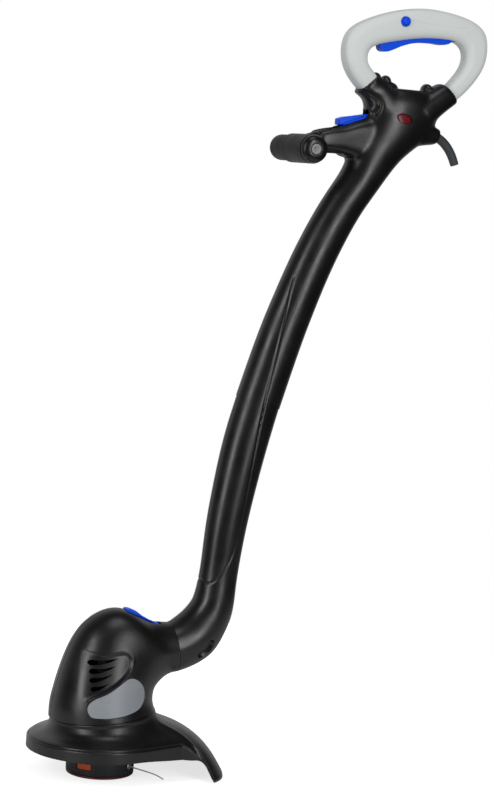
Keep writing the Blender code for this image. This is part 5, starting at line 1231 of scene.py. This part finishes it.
def red_acrylic():
    """Dyed clear acrylic: wet gloss over a deep red body, with vertical prisms.

    The wave node's bands lie 314.16 / Scale mm apart, here 2.24 mm; the real prisms are half as
    wide and wouldn't show.
    """
    made, tree, shader, where = material("dark_red_acrylic")
    prisms = add(tree, "ShaderNodeTexWave", {"bands_direction": "X"}, Vector=where, Scale=314.16 / 2.244,
                 Distortion=0.0)
    tone = add(tree, "ShaderNodeMix", {"data_type": "RGBA"}, i0=prisms.outputs["Fac"],
               i6=lit("#4a1014"), i7=lit("#6e1a1f"))
    feed(shader, Base_Color=tone.outputs[2], Roughness=0.22, IOR=1.49, Specular_IOR_Level=0.2)
    return made


def on_body(x, z):
    """The left face of the body at (x, z), in mm, before anything was cut out of it."""
    start, way = Vector((x * 0.001, -0.1, z * 0.001)), Vector((0.0, 1.0, 0.0))
    return np.array(body_form.ray_cast(start, way)[0]) * 1000.0


# The face follows the body and falls away by 0.7 s^4 mm towards its edge, at share s of the oval.
front = np.array([[on_body(x, z) + (0.0, LENS_DEPTH + 0.7 * share ** 4, 0.0) for x, z in oval(share)]
                  for share in np.linspace(0.02, 0.94, 14)])
lens_piece = capped("indicator_lens_acrylic", np.concatenate((front, front[::-1] + (0.0, LENS_THICK, 0.0))))
dressed(lens_piece, "shaft", red_acrylic(), "red_lens", "indicator_lens")


# Cord boot
# A tapered boot of matt dark grey rubber, moulded as a tube with shallow lengthwise ribs. Its
# collar sits in the body's lug, and it ends in a plain cut.
BOOT_RADII = (5.7, 5.7, 5.7, 5.6, 5.5, 5.4, 5.3, 5.2)
BOOT_BORE = 3.7
BOOT_RIBS = 0.18                  # height of the ribs, mm


def swept(name, path, radii, bore, ribs, steps, around):
    """A tube with a bore along a path (x, z): r = radius + ribs cos(8 a)^2 round each point."""
    rows = fair_run(np.column_stack((path, radii)), steps)
    tangent = np.gradient(rows[:, :2], axis=0)
    tangent /= np.linalg.norm(tangent, axis=1, keepdims=True)
    square_to = np.column_stack((-tangent[:, 1], tangent[:, 0]))
    a = np.arange(around) * math.tau / around
    skins = []
    for radius in (rows[:, 2:3] + ribs * np.cos(8 * a) ** 2, np.full((steps, around), bore)):
        flat = rows[:, None, :2] + square_to[:, None] * (radius * np.cos(a))[..., None]
        skins.append(np.stack((flat[..., 0], radius * np.sin(a), flat[..., 1]), axis=2))
    index = numbered(2 * steps, around)
    grid = np.concatenate((skins[0], skins[1][::-1]))
    return piece(name, grid.reshape(-1, 3), woven(np.vstack((index, index[:1]))))


# Slate grey rubber, matt, with a faint blue cast.
boot_rubber = satin("dark_grey_pvc_boot", "#3d4144", "#34383b", 0.55, 9.0, grain_lift=0.03)
start, way = boot_start[[0, 2]], boot_axis[[0, 2]]
boot_path = np.vstack((start - way * 4.0, start + way * 0.3, BOOT_PATH[1:]))
boot = swept("cord_boot_moulding", boot_path, BOOT_RADII, BOOT_BORE, BOOT_RIBS, steps=90, around=64)
flange_profile = ((BOOT_BORE, -4.0), (8.0, -4.0), (8.0, 1.0), (BOOT_BORE, 1.0))
flange = spun("boot_flange", flange_profile, 64, boot_axis, boot_start)
cut(boot, [flange], "UNION")
dressed(boot, "shaft", boot_rubber, "boot_rubber", "cord_boot")


# Working parts inside
# Motor, line reel, pins, bearings, switch and spring keep their CAD meshes and get real finishes.
# They show only through the air slots, the trigger slot and from below.

# Off-white, faintly yellow and waxy.
white_nylon = satin("natural_white_nylon", "#c8c8c0", "#bcbcb3", 0.5, 12.0)
# Dark grey and dull, for the switch.
phenolic = satin("dark_grey_phenolic", "#3a3a3c", "#303032", 0.45, 8.0)


def lacquered_copper():
    """Enamelled wire windings: shiny copper turns, with a painted highlight on each turn's crest and painted
    shade in the grooves between them.

    They lie 2.4 mm apart, drawn coarser than the real 0.4 mm wire, which wouldn't show.
    """
    made, tree, shader, where = material("lacquered_copper_winding")
    turns = add(tree, "ShaderNodeTexWave", {"bands_direction": "Z"}, Vector=where, Scale=314.16 / 2.4166,
                Distortion=0.6)
    # The two copper tones follow the same waves as the bump: lighter on the crests as painted highlight,
    # darker in the grooves as painted shade.
    tone = add(tree, "ShaderNodeMix", {"data_type": "RGBA"}, i0=turns.outputs["Fac"],
               i6=lit("#7a3d1e"), i7=lit("#b8703f"))
    lift = add(tree, "ShaderNodeBump", Strength=0.4, Distance=0.0004, Height=turns.outputs["Fac"])
    feed(shader, Base_Color=tone.outputs[2], Metallic=0.8, Roughness=0.35, Normal=lift.outputs["Normal"])
    return made


# Nearly black steel with a dull sheen.
dark_steel = metal("phosphated_dark_steel", "#2b2b2e", 0.5, 1.2)
INSIDE = {"motor_can": dark_steel, "motor_shaft": steel, "bearing_lower": steel, "bearing_upper": steel,
          "arm_pin": steel, "trigger_pin": steel, "grip_bolt": steel, "reel_spring": steel,
          "fan": white_nylon, "motor_plate": white_nylon, "motor_end_cap": white_nylon,
          "line_reel": white_nylon, "swivel_tube": white_nylon, "line_winding": line_nylon,
          "switch": phenolic, "rotor": lacquered_copper()}
for node, surface in INSIDE.items():
    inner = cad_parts[node]
    inner.data.materials.clear()
    inner.data.materials.append(surface)
